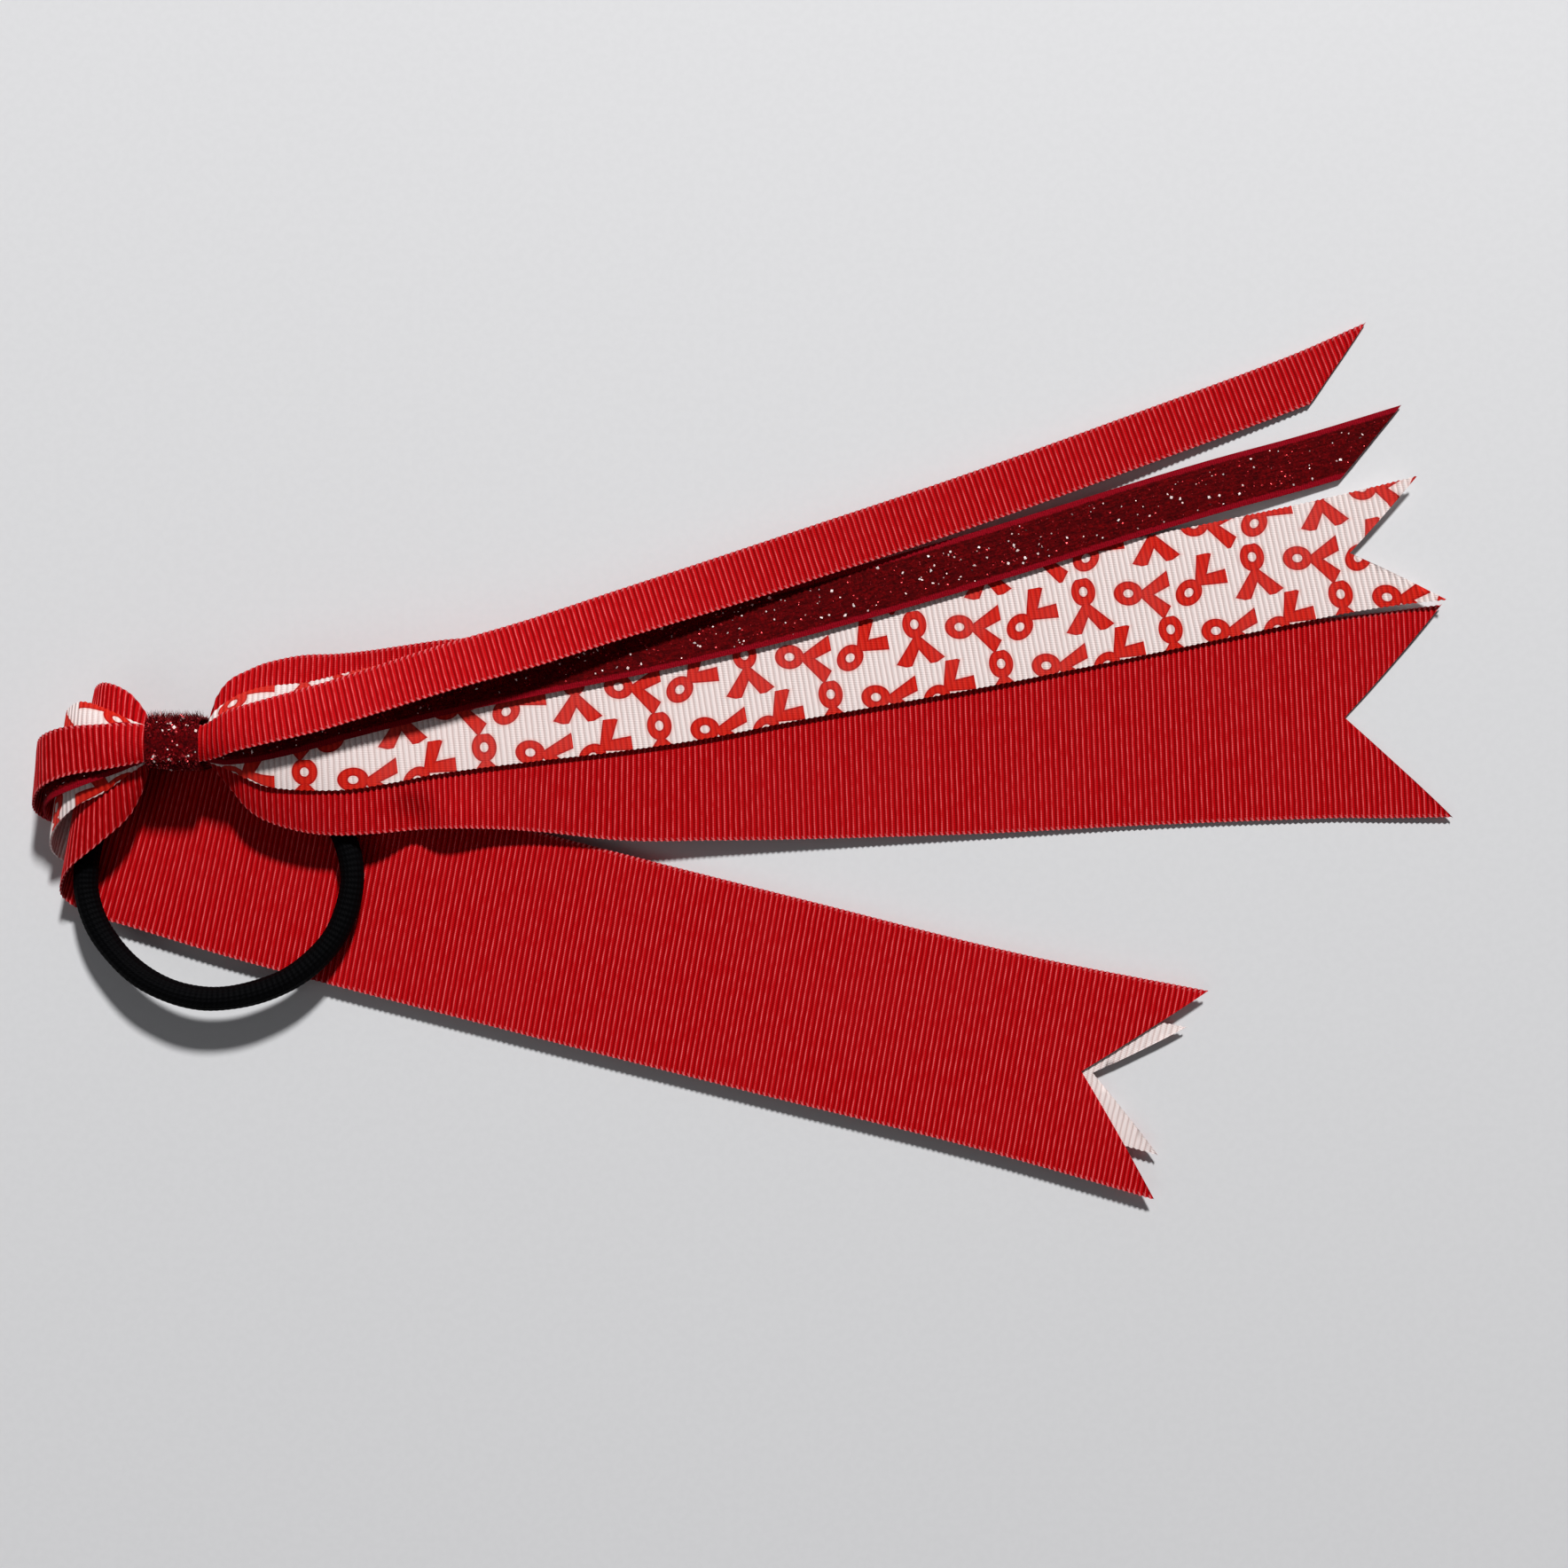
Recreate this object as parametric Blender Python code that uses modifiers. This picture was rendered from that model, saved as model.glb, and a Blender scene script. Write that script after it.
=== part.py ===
"""Cheer hair bow: four ribbons of different widths, pinched at their middles and bound to a hair elastic.

Lengths are in millimetres in the tables and are turned into metres when the meshes are made. X runs along the
streamers from the knot to their tips, Y across them, and Z up from the table that the bow lies on.
"""

import math

import bmesh
import bpy
from mathutils import Vector

MM = 0.001

# Puts the middle of the bow's outline over the origin
PLACE = (-0.7, -0.3, 0.0)

# Cloth
CLOTH_THICK = 0.45
WIDE_HALF = 19.05
PRINT_HALF = 11.1
GLITTER_HALF = 5.1
NARROW_HALF = 5.0

# Knot: the pinched ribbons and the elastic lie inside the wrap
KNOT_X = -105.5
KNOT_Y = 2.1
WRAP_LONG = 9.9
PINCH_HALF = 3.3
PINCH_DROP = 1.0
PINCH_LEVEL = {"wide": 12.3, "print": 13.2, "glitter": 14.1, "narrow": 15.0}
WRAP_THICK = 0.5
WRAP_HALF_Y = 4.4
WRAP_LOW = 5.6
WRAP_HIGH = 16.1

# Fold and back streamers, stacked flat under the rest
BACK_LEVEL = {"wide": 2.505, "print": 1.745, "glitter": 0.985, "narrow": 0.225}
SEAM = (-112.5, -14.2)
SEAM_LEAN = -16.0
BACK_LINE = ((-89.7, -21.1, -15.0), (-35.8, -35.2, -14.1), (6.8, -46.0, -14.0), (48.8, -56.5, -13.8))

# Joint axes
FRONT_AXIS = (-100.2, 2.1, 15.3)
BACK_AXIS = (SEAM[0], SEAM[1], 0.0)
JOINT_GAP = 0.3

# Elastic
CORD_RADIUS = 2.3
SLEEVE_THICK = 0.5
CORE_RADIUS = 1.5
CORD_LEVEL = 8.2
JOINT_LONG = 5.4

# Stations along each front streamer: x, y, z of the middle, lean of the width from +Y (degrees),
# half width, fall of the edges below the middle, fall of the upper edge below the lower one.
FRONT = {
    "wide": (
        (-98.3, 3.4, 12.4, 2, 7.2, 2.2, 0),
        (-96.0, 3.5, 12.4, 2, 10.3, 2.6, 0),
        (-92.8, 2.8, 12.3, 0, 13.0, 2.6, 0),
        (-89.4, 2.4, 12.1, 0, 14.8, 2.4, 0),
        (-82.8, 2.1, 11.8, 0, 16.5, 2.0, 0),
        (-76.2, 1.9, 11.2, 0, 17.0, 1.4, 0),
        (-69.6, 2.4, 10.0, 2, 17.2, 0.8, 0),
        (-63.0, 3.2, 8.6, 3, 17.4, 0.3, 0),
        (-56.0, 3.9, 7.3, 2, 17.8, 0, 0),
        (-47.0, 4.2, 6.3, 0, 18.2, 0, 0),
        (-37.4, 4.0, 5.4, -3, 18.6, 0, 0),
        (-22.0, 2.8, 4.4, -1, WIDE_HALF, 0, 0),
        (-6.8, 2.8, 3.2, 1, WIDE_HALF, 0, 0),
        (10.0, 3.0, 2.2, 2, WIDE_HALF, 0, 0),
        (44.0, 4.0, 1.0, 2, WIDE_HALF, 0, 0),
        (77.6, 5.7, 0.6, 2.4, WIDE_HALF, 0, 0),
        (112.0, 7.1, 0.6, 3, WIDE_HALF + 0.1, 0, 0),
        (122.0, 7.6, 0.7, 3, WIDE_HALF + 0.6, 0, 0),
        (134.8, 8.5, 1.0, 3, WIDE_HALF + 1.3, 0, 0),
    ),
    "print": (
        (-98.3, 3.0, 13.5, 2, 4.9, 1.3, 0),
        (-95.0, 3.6, 13.6, 1, 6.9, 1.4, 0),
        (-92.0, 3.6, 13.5, 0, 8.3, 1.1, 0),
        (-88.9, 3.4, 13.3, 0, 9.3, 1.0, 0),
        (-84.5, 3.3, 13.0, 0, 9.8, 0.9, 0),
        (-80.0, 3.5, 12.6, 1, 10.2, 0.7, 0),
        (-74.0, 4.3, 11.8, 4, 10.8, 0.4, 0),
        (-66.7, 5.8, 10.3, 6, PRINT_HALF, 0.2, 0),
        (-58.2, 7.5, 8.7, 6, PRINT_HALF, 0.1, 0),
        (-40.8, 9.8, 6.7, 7, PRINT_HALF, 0, 0),
        (-24.8, 11.7, 5.6, 8, PRINT_HALF, 0, 0),
        (-8.3, 14.2, 4.4, 9, PRINT_HALF, 0, 0),
        (8.2, 17.5, 3.4, 9.5, PRINT_HALF, 0, 0),
        (42.3, 23.6, 2.2, 10.5, PRINT_HALF, 0, 0),
        (76.3, 30.4, 1.6, 11.5, PRINT_HALF, 0, 0),
        (110.3, 37.5, 1.8, 12.5, PRINT_HALF, 0, 0),
        (122.0, 39.8, 2.3, 13, PRINT_HALF + 0.4, 0, 0),
        (131.2, 41.4, 3.0, 13.5, PRINT_HALF + 1.0, 0, 0),
    ),
    "glitter": (
        (-98.3, 2.3, 14.5, 1, 3.9, 0.9, 0),
        (-96.0, 2.5, 14.9, 2, 4.4, 0.8, 0),
        (-92.5, 3.3, 15.0, 3, 4.9, 0.7, 0),
        (-89.0, 4.0, 14.9, 5, GLITTER_HALF, 0.5, 0),
        (-81.6, 5.8, 14.1, 9, GLITTER_HALF, 0.3, 0),
        (-73.6, 8.1, 12.9, 12, GLITTER_HALF, 0.1, 0),
        (-57.4, 12.3, 10.0, 13, GLITTER_HALF, 0, 0),
        (-40.5, 16.0, 7.8, 11, GLITTER_HALF, 0, 0),
        (-24.0, 19.4, 6.6, 12, GLITTER_HALF, 0, 0),
        (-7.4, 23.1, 5.4, 13, GLITTER_HALF, 0, 0),
        (9.3, 27.2, 4.4, 15, GLITTER_HALF, 0, 0),
        (42.8, 36.8, 3.2, 16.5, GLITTER_HALF, 0, 0),
        (76.9, 47.4, 2.4, 15.5, GLITTER_HALF, 0, 0),
        (92.0, 51.9, 1.9, 15, GLITTER_HALF, 0, 0),
        (108.0, 56.3, 1.1, 14.5, GLITTER_HALF, 0, 0),
        (127.4, 62.2, 0.6, 14.5, GLITTER_HALF, 0, 0),
    ),
    "narrow": (
        (-97.0, 3.2, 16.2, 4, 3.7, 0.8, 0.3),
        (-94.4, 4.3, 17.0, 7, 3.9, 0.6, 0.8),
        (-87.7, 6.1, 17.3, 11, 4.1, 0.4, 1.4),
        (-79.7, 8.2, 16.6, 14.5, 4.3, 0.3, 1.6),
        (-71.6, 10.7, 15.6, 17, 4.3, 0.2, 1.6),
        (-55.5, 16.0, 13.6, 17.5, 4.4, 0, 1.5),
        (-39.2, 20.9, 11.4, 18, 4.5, 0, 1.3),
        (-22.8, 26.4, 9.4, 18, 4.6, 0, 1.0),
        (-6.2, 31.8, 7.6, 18, 4.8, 0, 0.6),
        (10.5, 37.4, 6.0, 18, 4.9, 0, 0.2),
        (44.5, 48.9, 3.9, 19, NARROW_HALF, 0, 0),
        (78.6, 61.4, 1.8, 20, NARROW_HALF, 0, 0),
        (105.8, 71.6, 0.8, 21.5, NARROW_HALF, 0, 0),
        (121.2, 78.3, 0.6, 22, NARROW_HALF, 0, 0),
    ),
}

# The same for each loop, from the wrap's left mouth round the fold to the flat run before the seam.
LOOP = {
    "wide": (
        (-112.3, 0.4, 12.5, -3, 7.4, 2.4, 0),
        (-114.8, 0.1, 13.1, 0, 11.4, 2.4, 0),
        (-119.2, -1.4, 13.2, -2, 14.8, 1.4, 0),
        (-123.4, -4.2, 11.2, -8, 16.9, 0.7, 0),
        (-125.2, -6.8, 7.6, -11, 18.0, 0.2, 0),
        (-124.6, -8.9, 4.4, -14, 18.8, 0, 0),
        (-121.0, -11.2, 2.9, -16, WIDE_HALF, 0, 0),
        (-117.0, -12.9, 2.505, -16, WIDE_HALF, 0, 0),
    ),
    "print": (
        (-113.0, 1.6, 14.2, 0, 4.4, 1.0, 0),
        (-118.7, 0.8, 15.0, 0, 7.8, 1.4, 0),
        (-123.2, 0.2, 14.6, -2, 9.6, 1.0, 0),
        (-127.0, -2.4, 12.0, -5, 10.6, 0.5, 0),
        (-128.6, -5.6, 8.0, -10, PRINT_HALF, 0.2, 0),
        (-127.6, -8.6, 3.9, -15, PRINT_HALF, 0, 0),
        (-123.5, -11.0, 1.95, -16, PRINT_HALF, 0, 0),
        (-118.0, -12.6, 1.745, -16, PRINT_HALF, 0, 0),
    ),
    "glitter": (
        (-112.2, 1.9, 14.8, 0, 3.7, 0.8, 0),
        (-115.5, 1.3, 15.7, 1, 4.6, 0.6, 0),
        (-122.5, -0.8, 16.0, 2, GLITTER_HALF, 0.2, 0),
        (-128.2, -3.2, 13.8, -2, GLITTER_HALF, 0, 0),
        (-130.8, -5.8, 8.6, -8, GLITTER_HALF, 0, 0),
        (-129.8, -8.3, 3.1, -14, GLITTER_HALF, 0, 0),
        (-125.0, -10.6, 1.1, -16, GLITTER_HALF, 0, 0),
        (-119.0, -12.3, 0.985, -16, GLITTER_HALF, 0, 0),
    ),
    "narrow": (
        (-112.2, 2.0, 15.9, 1, 3.6, 0.8, 0),
        (-114.5, 1.8, 16.9, 2, 3.9, 0.6, 0),
        (-118.5, 1.3, 17.4, 4, 4.2, 0.2, 0),
        (-125.0, 0.5, 16.9, 4, 4.5, 0, 0),
        (-129.9, -1.3, 14.7, 0, 4.7, 0, 0),
        (-132.5, -3.8, 10.0, -6, NARROW_HALF, 0, 0),
        (-132.8, -6.2, 5.5, -12, NARROW_HALF, 0, 0),
        (-130.4, -8.3, 1.6, -14, NARROW_HALF, 0, 0),
        (-125.8, -10.3, 0.32, -16, NARROW_HALF, 0, 0),
        (-121.0, -11.7, 0.225, -16, NARROW_HALF, 0, 0),
        (-117.0, -12.9, 0.225, -16, NARROW_HALF, 0, 0),
    ),
}

# Far end of each back streamer, and the depth of each end cut.
BACK_END = {
    "wide": (83.6, -64.9, -14.5),
    "print": (82.0, -64.2, -12.5),
    "glitter": (57.8, -58.7, -13.8),
    "narrow": (55.8, -58.2, -13.8),
}
SPLAY = {"wide": 1.5, "print": 1.4, "glitter": 0.0, "narrow": 0.0}
NOTCH = {"wide": 19.6, "print": 15.6}
SLANT = {"glitter": 15.0, "narrow": 15.8}
HALF = {"wide": WIDE_HALF, "print": PRINT_HALF, "glitter": GLITTER_HALF, "narrow": NARROW_HALF}
ACROSS = {"wide": 10, "print": 8, "glitter": 4, "narrow": 4}

# The elastic's path, from the wrap's right mouth round the ring to its left mouth.
CORD = (
    (-99.0, 2.0, 8.1),
    (-90.0, -0.4, 7.3),
    (-81.5, -6.6, 6.3),
    (-75.6, -15.5, 5.9),
    (-74.0, -24.5, 6.0),
    (-77.6, -35.0, 6.6),
    (-86.6, -42.8, 7.4),
    (-99.9, -46.0, 7.9),
    (-111.5, -43.0, 7.4),
    (-120.3, -35.2, 6.5),
    (-124.2, -26.0, 6.2),
    (-123.3, -16.5, 6.5),
    (-120.3, -7.0, 7.0),
    (-115.0, 0.4, 7.9),
)

COLOUR = {
    "wide": (0.42, 0.004, 0.018, 1),
    "print": (0.85, 0.80, 0.80, 1),
    "glitter": (0.14, 0.002, 0.01, 1),
    "narrow": (0.45, 0.006, 0.02, 1),
}


def clear_scene():
    for obj in list(bpy.data.objects):
        bpy.data.objects.remove(obj, do_unlink=True)


def new_collection(name):
    made = bpy.data.collections.new(name)
    bpy.context.scene.collection.children.link(made)
    return made


def material(name, colour, roughness, sheen=0.0):
    made = bpy.data.materials.new(name)
    made.use_nodes = True
    shader = made.node_tree.nodes["Principled BSDF"]
    shader.inputs["Base Color"].default_value = colour
    shader.inputs["Roughness"].default_value = roughness
    shader.inputs["Sheen Weight"].default_value = sheen
    return made


def smooth_row(rows, at, i, t):
    """Value of every column at t between rows i and i + 1, on a smooth curve through the rows."""
    low = max(i - 1, 0)
    high = min(i + 2, len(rows) - 1)
    step = at[i + 1] - at[i]
    f = (t - at[i]) / step
    h = (2 * f**3 - 3 * f**2 + 1, f**3 - 2 * f**2 + f, 3 * f**2 - 2 * f**3, f**3 - f**2)
    out = []
    for column in range(len(rows[0])):
        start = (rows[i + 1][column] - rows[low][column]) / (at[i + 1] - at[low])
        end = (rows[high][column] - rows[i][column]) / (at[high] - at[i])
        out.append(
            h[0] * rows[i][column] + h[1] * step * start + h[2] * rows[i + 1][column] + h[3] * step * end
        )
    return out


class Strip:
    """A strip of cloth through stations. at(u, v) is its point u millimetres along, v from -1 to 1 across."""

    def __init__(self, rows):
        self.rows = [tuple(float(value) for value in row) for row in rows]
        self.knots = [0.0]
        for a, b in zip(self.rows, self.rows[1:]):
            self.knots.append(self.knots[-1] + math.dist(a[:3], b[:3]))
        self.length = self.knots[-1]

    def row(self, u):
        u = min(max(u, 0.0), self.length)
        i = 0
        while i < len(self.knots) - 2 and self.knots[i + 1] < u:
            i += 1
        return smooth_row(self.rows, self.knots, i, u)

    def at(self, u, v):
        x, y, z, lean, half, drop, tilt = self.row(u)
        a = math.radians(lean)
        side = v * half
        return Vector((x - side * math.sin(a), y + side * math.cos(a), z - drop * v * v - tilt * v)) * MM


def pinch(name, x):
    return (x, KNOT_Y, PINCH_LEVEL[name], 0, PINCH_HALF, PINCH_DROP, 0)


def front_strip(name):
    return Strip([pinch(name, FRONT_AXIS[0] + JOINT_GAP)] + list(FRONT[name]))


def loop_strip(name):
    seam_step = JOINT_GAP / 2
    lean = math.radians(SEAM_LEAN)
    seam = (
        SEAM[0] - seam_step * math.cos(lean),
        SEAM[1] - seam_step * math.sin(lean),
        BACK_LEVEL[name],
        SEAM_LEAN,
        HALF[name],
        0,
        0,
    )
    start = FRONT_AXIS[0] - JOINT_GAP / 3
    rows = [pinch(name, start), pinch(name, KNOT_X), pinch(name, KNOT_X - WRAP_LONG / 2)]
    return Strip(rows + list(LOOP[name]) + [seam])


def back_strip(name):
    seam_step = JOINT_GAP / 2
    lean = math.radians(SEAM_LEAN)
    level = BACK_LEVEL[name]
    half = HALF[name]
    start = (SEAM[0] + seam_step * math.cos(lean), SEAM[1] + seam_step * math.sin(lean))
    rows = [(start[0], start[1], level, SEAM_LEAN, half, 0, 0)]
    for x, y, turn in BACK_LINE:
        rows.append((x, y, level, turn, half, 0, 0))
    end = BACK_END[name]
    rows.append((end[0], end[1], level, end[2], half + SPLAY[name], 0, 0))
    return Strip(rows)


def cut_length(name, strip, v, is_tail):
    """Where the cloth ends at v: a V notch on the two wide ribbons, a slant on the two narrow ones."""
    if not is_tail:
        return strip.length
    if name in NOTCH:
        return strip.length - NOTCH[name] * (1 - abs(v))
    return strip.length - SLANT[name] * (1 - v) / 2


def make_cloth(label, name, strip, step, is_tail, axis, shader, home):
    """One piece of ribbon: a grid bent along the strip, with the thickness of the cloth."""
    bm = bmesh.new()
    along = max(6, round(strip.length / step))
    across = ACROSS[name]
    bmesh.ops.create_grid(bm, x_segments=along, y_segments=across, size=0.5)
    origin = Vector(axis) * MM
    for vert in bm.verts:
        v = 2 * vert.co.y
        u = (vert.co.x + 0.5) * cut_length(name, strip, v, is_tail)
        vert.co = strip.at(u, v) - origin
    mesh = bpy.data.meshes.new(label)
    bm.to_mesh(mesh)
    bm.free()
    obj = bpy.data.objects.new(label, mesh)
    obj.location = origin
    home.objects.link(obj)
    obj.data.materials.append(shader)
    thick = obj.modifiers.new("cloth", "SOLIDIFY")
    thick.thickness = CLOTH_THICK * MM
    thick.offset = 0
    return obj


def make_wrap(shader, home):
    """The band round the knot: one turn from the back, its end lapped over its start."""
    bm = bmesh.new()
    turns = 40
    bmesh.ops.create_grid(bm, x_segments=turns, y_segments=4, size=0.5)
    middle = (WRAP_LOW + WRAP_HIGH) / 2
    tall = (WRAP_HIGH - WRAP_LOW) / 2
    lap = math.radians(38)
    for vert in bm.verts:
        f = vert.co.x + 0.5
        angle = -math.pi / 2 - lap + f * (2 * math.pi + 2 * lap)
        out = WRAP_THICK / 2
        late = (f * (2 * math.pi + 2 * lap) - (2 * math.pi - lap)) / (2 * lap)
        if late > 0:
            ease = min(late, 1.0)
            out += 1.5 * ease * ease * (3 - 2 * ease)
        c = math.cos(angle)
        s = math.sin(angle)
        y = math.copysign(abs(c) ** 0.55, c)
        z = math.copysign(abs(s) ** 0.55, s)
        vert.co = (
            Vector((KNOT_X + vert.co.y * WRAP_LONG, KNOT_Y + (WRAP_HALF_Y + out) * y, middle + (tall + out) * z))
            * MM
        )
    mesh = bpy.data.meshes.new("centre_wrap")
    bm.to_mesh(mesh)
    bm.free()
    obj = bpy.data.objects.new("centre_wrap", mesh)
    home.objects.link(obj)
    obj.data.materials.append(shader)
    thick = obj.modifiers.new("band", "SOLIDIFY")
    thick.thickness = WRAP_THICK * MM
    thick.offset = 0
    return obj


def rod(label, points, radius, closed, sides, shader, home, wall=0.0):
    """A cord along points. With a wall it is a tube with open ends."""
    path = bpy.data.curves.new(label, "CURVE")
    path.dimensions = "3D"
    path.bevel_depth = radius * MM
    path.bevel_resolution = sides
    path.use_fill_caps = not closed and not wall
    spline = path.splines.new("POLY")
    spline.points.add(len(points) - 1)
    for point, place in zip(spline.points, points):
        point.co = (*(Vector(place) * MM), 1)
    spline.use_cyclic_u = closed
    guide = bpy.data.objects.new(label + "_path", path)
    home.objects.link(guide)
    bpy.context.view_layer.update()
    mesh = bpy.data.meshes.new_from_object(guide.evaluated_get(bpy.context.evaluated_depsgraph_get()))
    bpy.data.objects.remove(guide, do_unlink=True)
    mesh.name = label
    mesh.materials.clear()
    bm = bmesh.new()
    bm.from_mesh(mesh)
    bmesh.ops.remove_doubles(bm, verts=bm.verts, dist=0.00001)
    bmesh.ops.recalc_face_normals(bm, faces=bm.faces)
    bm.to_mesh(mesh)
    bm.free()
    obj = bpy.data.objects.new(label, mesh)
    home.objects.link(obj)
    obj.data.materials.append(shader)
    if wall:
        thick = obj.modifiers.new("wall", "SOLIDIFY")
        thick.thickness = wall * MM
        thick.offset = -1
    return obj


def smooth_path(places, count):
    rows = [tuple(float(value) for value in place) for place in places]
    knots = [0.0]
    for a, b in zip(rows, rows[1:]):
        knots.append(knots[-1] + math.dist(a, b))
    out = []
    for n in range(count + 1):
        t = knots[-1] * n / count
        i = 0
        while i < len(knots) - 2 and knots[i + 1] < t:
            i += 1
        out.append(smooth_row(rows, knots, i, t))
    return out


def make_hair_tie(home):
    black = material("hair_tie_braid", (0.006, 0.006, 0.009, 1), 0.75)
    latex = material("hair_tie_rubber", (0.02, 0.02, 0.02, 1), 0.6)
    bond = material("hair_tie_bond", (0.015, 0.015, 0.015, 1), 0.4)
    right = KNOT_X + JOINT_LONG / 2
    left = KNOT_X - JOINT_LONG / 2
    ends = [(right + 0.3, KNOT_Y, CORD_LEVEL), (right + 1.6, KNOT_Y, CORD_LEVEL)]
    last = [(left - 1.6, KNOT_Y, CORD_LEVEL), (left - 0.3, KNOT_Y, CORD_LEVEL)]
    path = smooth_path(ends + list(CORD) + last, 56)
    sleeve = rod("hair_tie_sleeve", path, CORD_RADIUS, False, 3, black, home, wall=SLEEVE_THICK)
    core = rod("hair_tie_core", path, CORE_RADIUS, False, 2, latex, home)
    joint = rod(
        "hair_tie_joint",
        [(left, KNOT_Y, CORD_LEVEL), (right, KNOT_Y, CORD_LEVEL)],
        CORD_RADIUS,
        False,
        3,
        bond,
        home,
    )
    for obj in (sleeve, core, joint):
        origin = Vector((KNOT_X, KNOT_Y, CORD_LEVEL)) * MM
        for vert in obj.data.vertices:
            vert.co -= origin
        obj.location = origin


def make_thread(home):
    """Two turns of strong thread that hold the pinch, hidden by the wrap."""
    cotton = material("cinch_thread", (0.35, 0.01, 0.02, 1), 0.8)
    shape = (
        (0.0, 11.25),
        (2.4, 10.75),
        (3.75, 10.7),
        (3.85, 12.0),
        (3.85, 13.9),
        (3.1, 15.0),
        (1.7, 15.65),
        (0.0, 15.68),
        (-1.7, 15.65),
        (-3.1, 15.0),
        (-3.85, 13.9),
        (-3.85, 12.0),
        (-3.75, 10.7),
        (-2.4, 10.75),
    )
    count = len(shape)
    turns = []
    for n in range(2 * count - 1):
        y, z = shape[n % count]
        turns.append((KNOT_X - 0.6 + 1.2 * n / (2 * count - 2), KNOT_Y + y, z))
    rod("cinch_thread", turns, 0.2, False, 1, cotton, home)


def make_glue(home):
    """A flat dab of hot-melt glue between the wrap's lapped ends, at the back."""
    clear = material("hot_melt_glue", (0.75, 0.68, 0.55, 1), 0.3)
    bm = bmesh.new()
    bmesh.ops.create_uvsphere(bm, u_segments=14, v_segments=8, radius=1.0)
    for vert in bm.verts:
        vert.co = Vector((vert.co.x * 3.6, vert.co.y * 1.7, vert.co.z * 0.22)) * MM
    mesh = bpy.data.meshes.new("glue_dab")
    bm.to_mesh(mesh)
    bm.free()
    obj = bpy.data.objects.new("glue_dab", mesh)
    obj.location = Vector((KNOT_X, KNOT_Y, WRAP_LOW - WRAP_THICK - 0.55)) * MM
    home.objects.link(obj)
    obj.data.materials.append(clear)


def main():
    clear_scene()
    home = new_collection("cheer_hair_bow")
    for name in ("wide", "print", "glitter", "narrow"):
        rough = 0.4 if name == "glitter" else 0.6
        pieces = (
            ("loop", loop_strip(name), 1.6, False, (0, 0, 0)),
            ("front_streamer", front_strip(name), 5.0, True, FRONT_AXIS),
            ("back_streamer", back_strip(name), 9.0, True, BACK_AXIS),
        )
        for kind, strip, step, is_tail, axis in pieces:
            shader = material(name + "_" + kind + "_cloth", COLOUR[name], rough, sheen=0.3)
            make_cloth(name + "_" + kind, name, strip, step, is_tail, axis, shader, home)
    make_wrap(material("wrap_velvet", COLOUR["glitter"], 0.4, sheen=0.3), home)
    make_hair_tie(home)
    make_thread(home)
    make_glue(home)
    for obj in home.objects:
        obj.location += Vector(PLACE) * MM


main()
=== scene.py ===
"""Cheer hair bow: cloth, wrap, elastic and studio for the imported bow.

Tables are in millimetres and repeat the lay of the solids. Each ribbon is two pieces of cloth that part inside the
wrap: one runs to its front tip, the other round the fold and along the back.
"""

import math

import bmesh
import bpy
import numpy as np
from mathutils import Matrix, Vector


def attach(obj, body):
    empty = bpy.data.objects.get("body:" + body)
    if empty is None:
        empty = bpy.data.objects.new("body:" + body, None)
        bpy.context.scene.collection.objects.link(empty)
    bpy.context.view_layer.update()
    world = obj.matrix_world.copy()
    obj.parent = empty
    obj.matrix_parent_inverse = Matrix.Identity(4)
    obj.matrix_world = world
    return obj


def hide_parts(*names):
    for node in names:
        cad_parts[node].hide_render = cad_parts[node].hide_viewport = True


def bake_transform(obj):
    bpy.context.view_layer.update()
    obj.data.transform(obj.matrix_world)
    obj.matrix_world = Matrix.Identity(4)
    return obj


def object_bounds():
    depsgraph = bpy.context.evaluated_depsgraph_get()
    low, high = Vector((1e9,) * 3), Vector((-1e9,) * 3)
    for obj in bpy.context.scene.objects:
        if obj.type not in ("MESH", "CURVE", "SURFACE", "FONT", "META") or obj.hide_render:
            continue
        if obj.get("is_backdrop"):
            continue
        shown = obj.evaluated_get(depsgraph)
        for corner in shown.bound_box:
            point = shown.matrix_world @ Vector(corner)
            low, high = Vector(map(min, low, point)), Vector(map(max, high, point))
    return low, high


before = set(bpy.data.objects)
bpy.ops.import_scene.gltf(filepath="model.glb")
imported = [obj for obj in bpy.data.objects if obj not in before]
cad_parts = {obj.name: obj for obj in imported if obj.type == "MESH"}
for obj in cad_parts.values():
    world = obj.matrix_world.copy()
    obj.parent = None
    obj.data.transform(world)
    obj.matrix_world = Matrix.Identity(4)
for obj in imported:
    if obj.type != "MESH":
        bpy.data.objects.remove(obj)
CAD_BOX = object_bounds()

bl_info = {
    "name": "Cheer Hair Bow",
    "version": (1, 0, 0),
    "blender": (4, 5, 0),
    "location": "View3D > Sidebar > Hair Bow",
    "description": "Makes the ribbons, centre wrap, hair tie and studio of a cheer hair bow",
    "category": "Object",
}

MM = 0.001
PLACE = np.array((-0.7, -0.3, 0.0))

# Half widths of the cut ribbons
WIDE_HALF = 19.05
PRINT_HALF = 11.1
GLITTER_HALF = 5.1
NARROW_HALF = 5.0
HALF = {"wide": WIDE_HALF, "print": PRINT_HALF, "glitter": GLITTER_HALF, "narrow": NARROW_HALF}

# Knot and wrap
KNOT_X = -105.5
KNOT_Y = 2.1
WRAP_LONG = 9.9
PINCH_HALF = 3.3
PINCH_DROP = 1.0
PINCH_LEVEL = {"wide": 12.3, "print": 13.2, "glitter": 14.1, "narrow": 15.0}
WRAP_THICK = 0.5
WRAP_HALF_Y = 4.4
WRAP_LOW = 5.6
WRAP_HIGH = 16.1
WRAP_SQUARE = 0.55
WRAP_LAP = math.radians(38)

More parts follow.
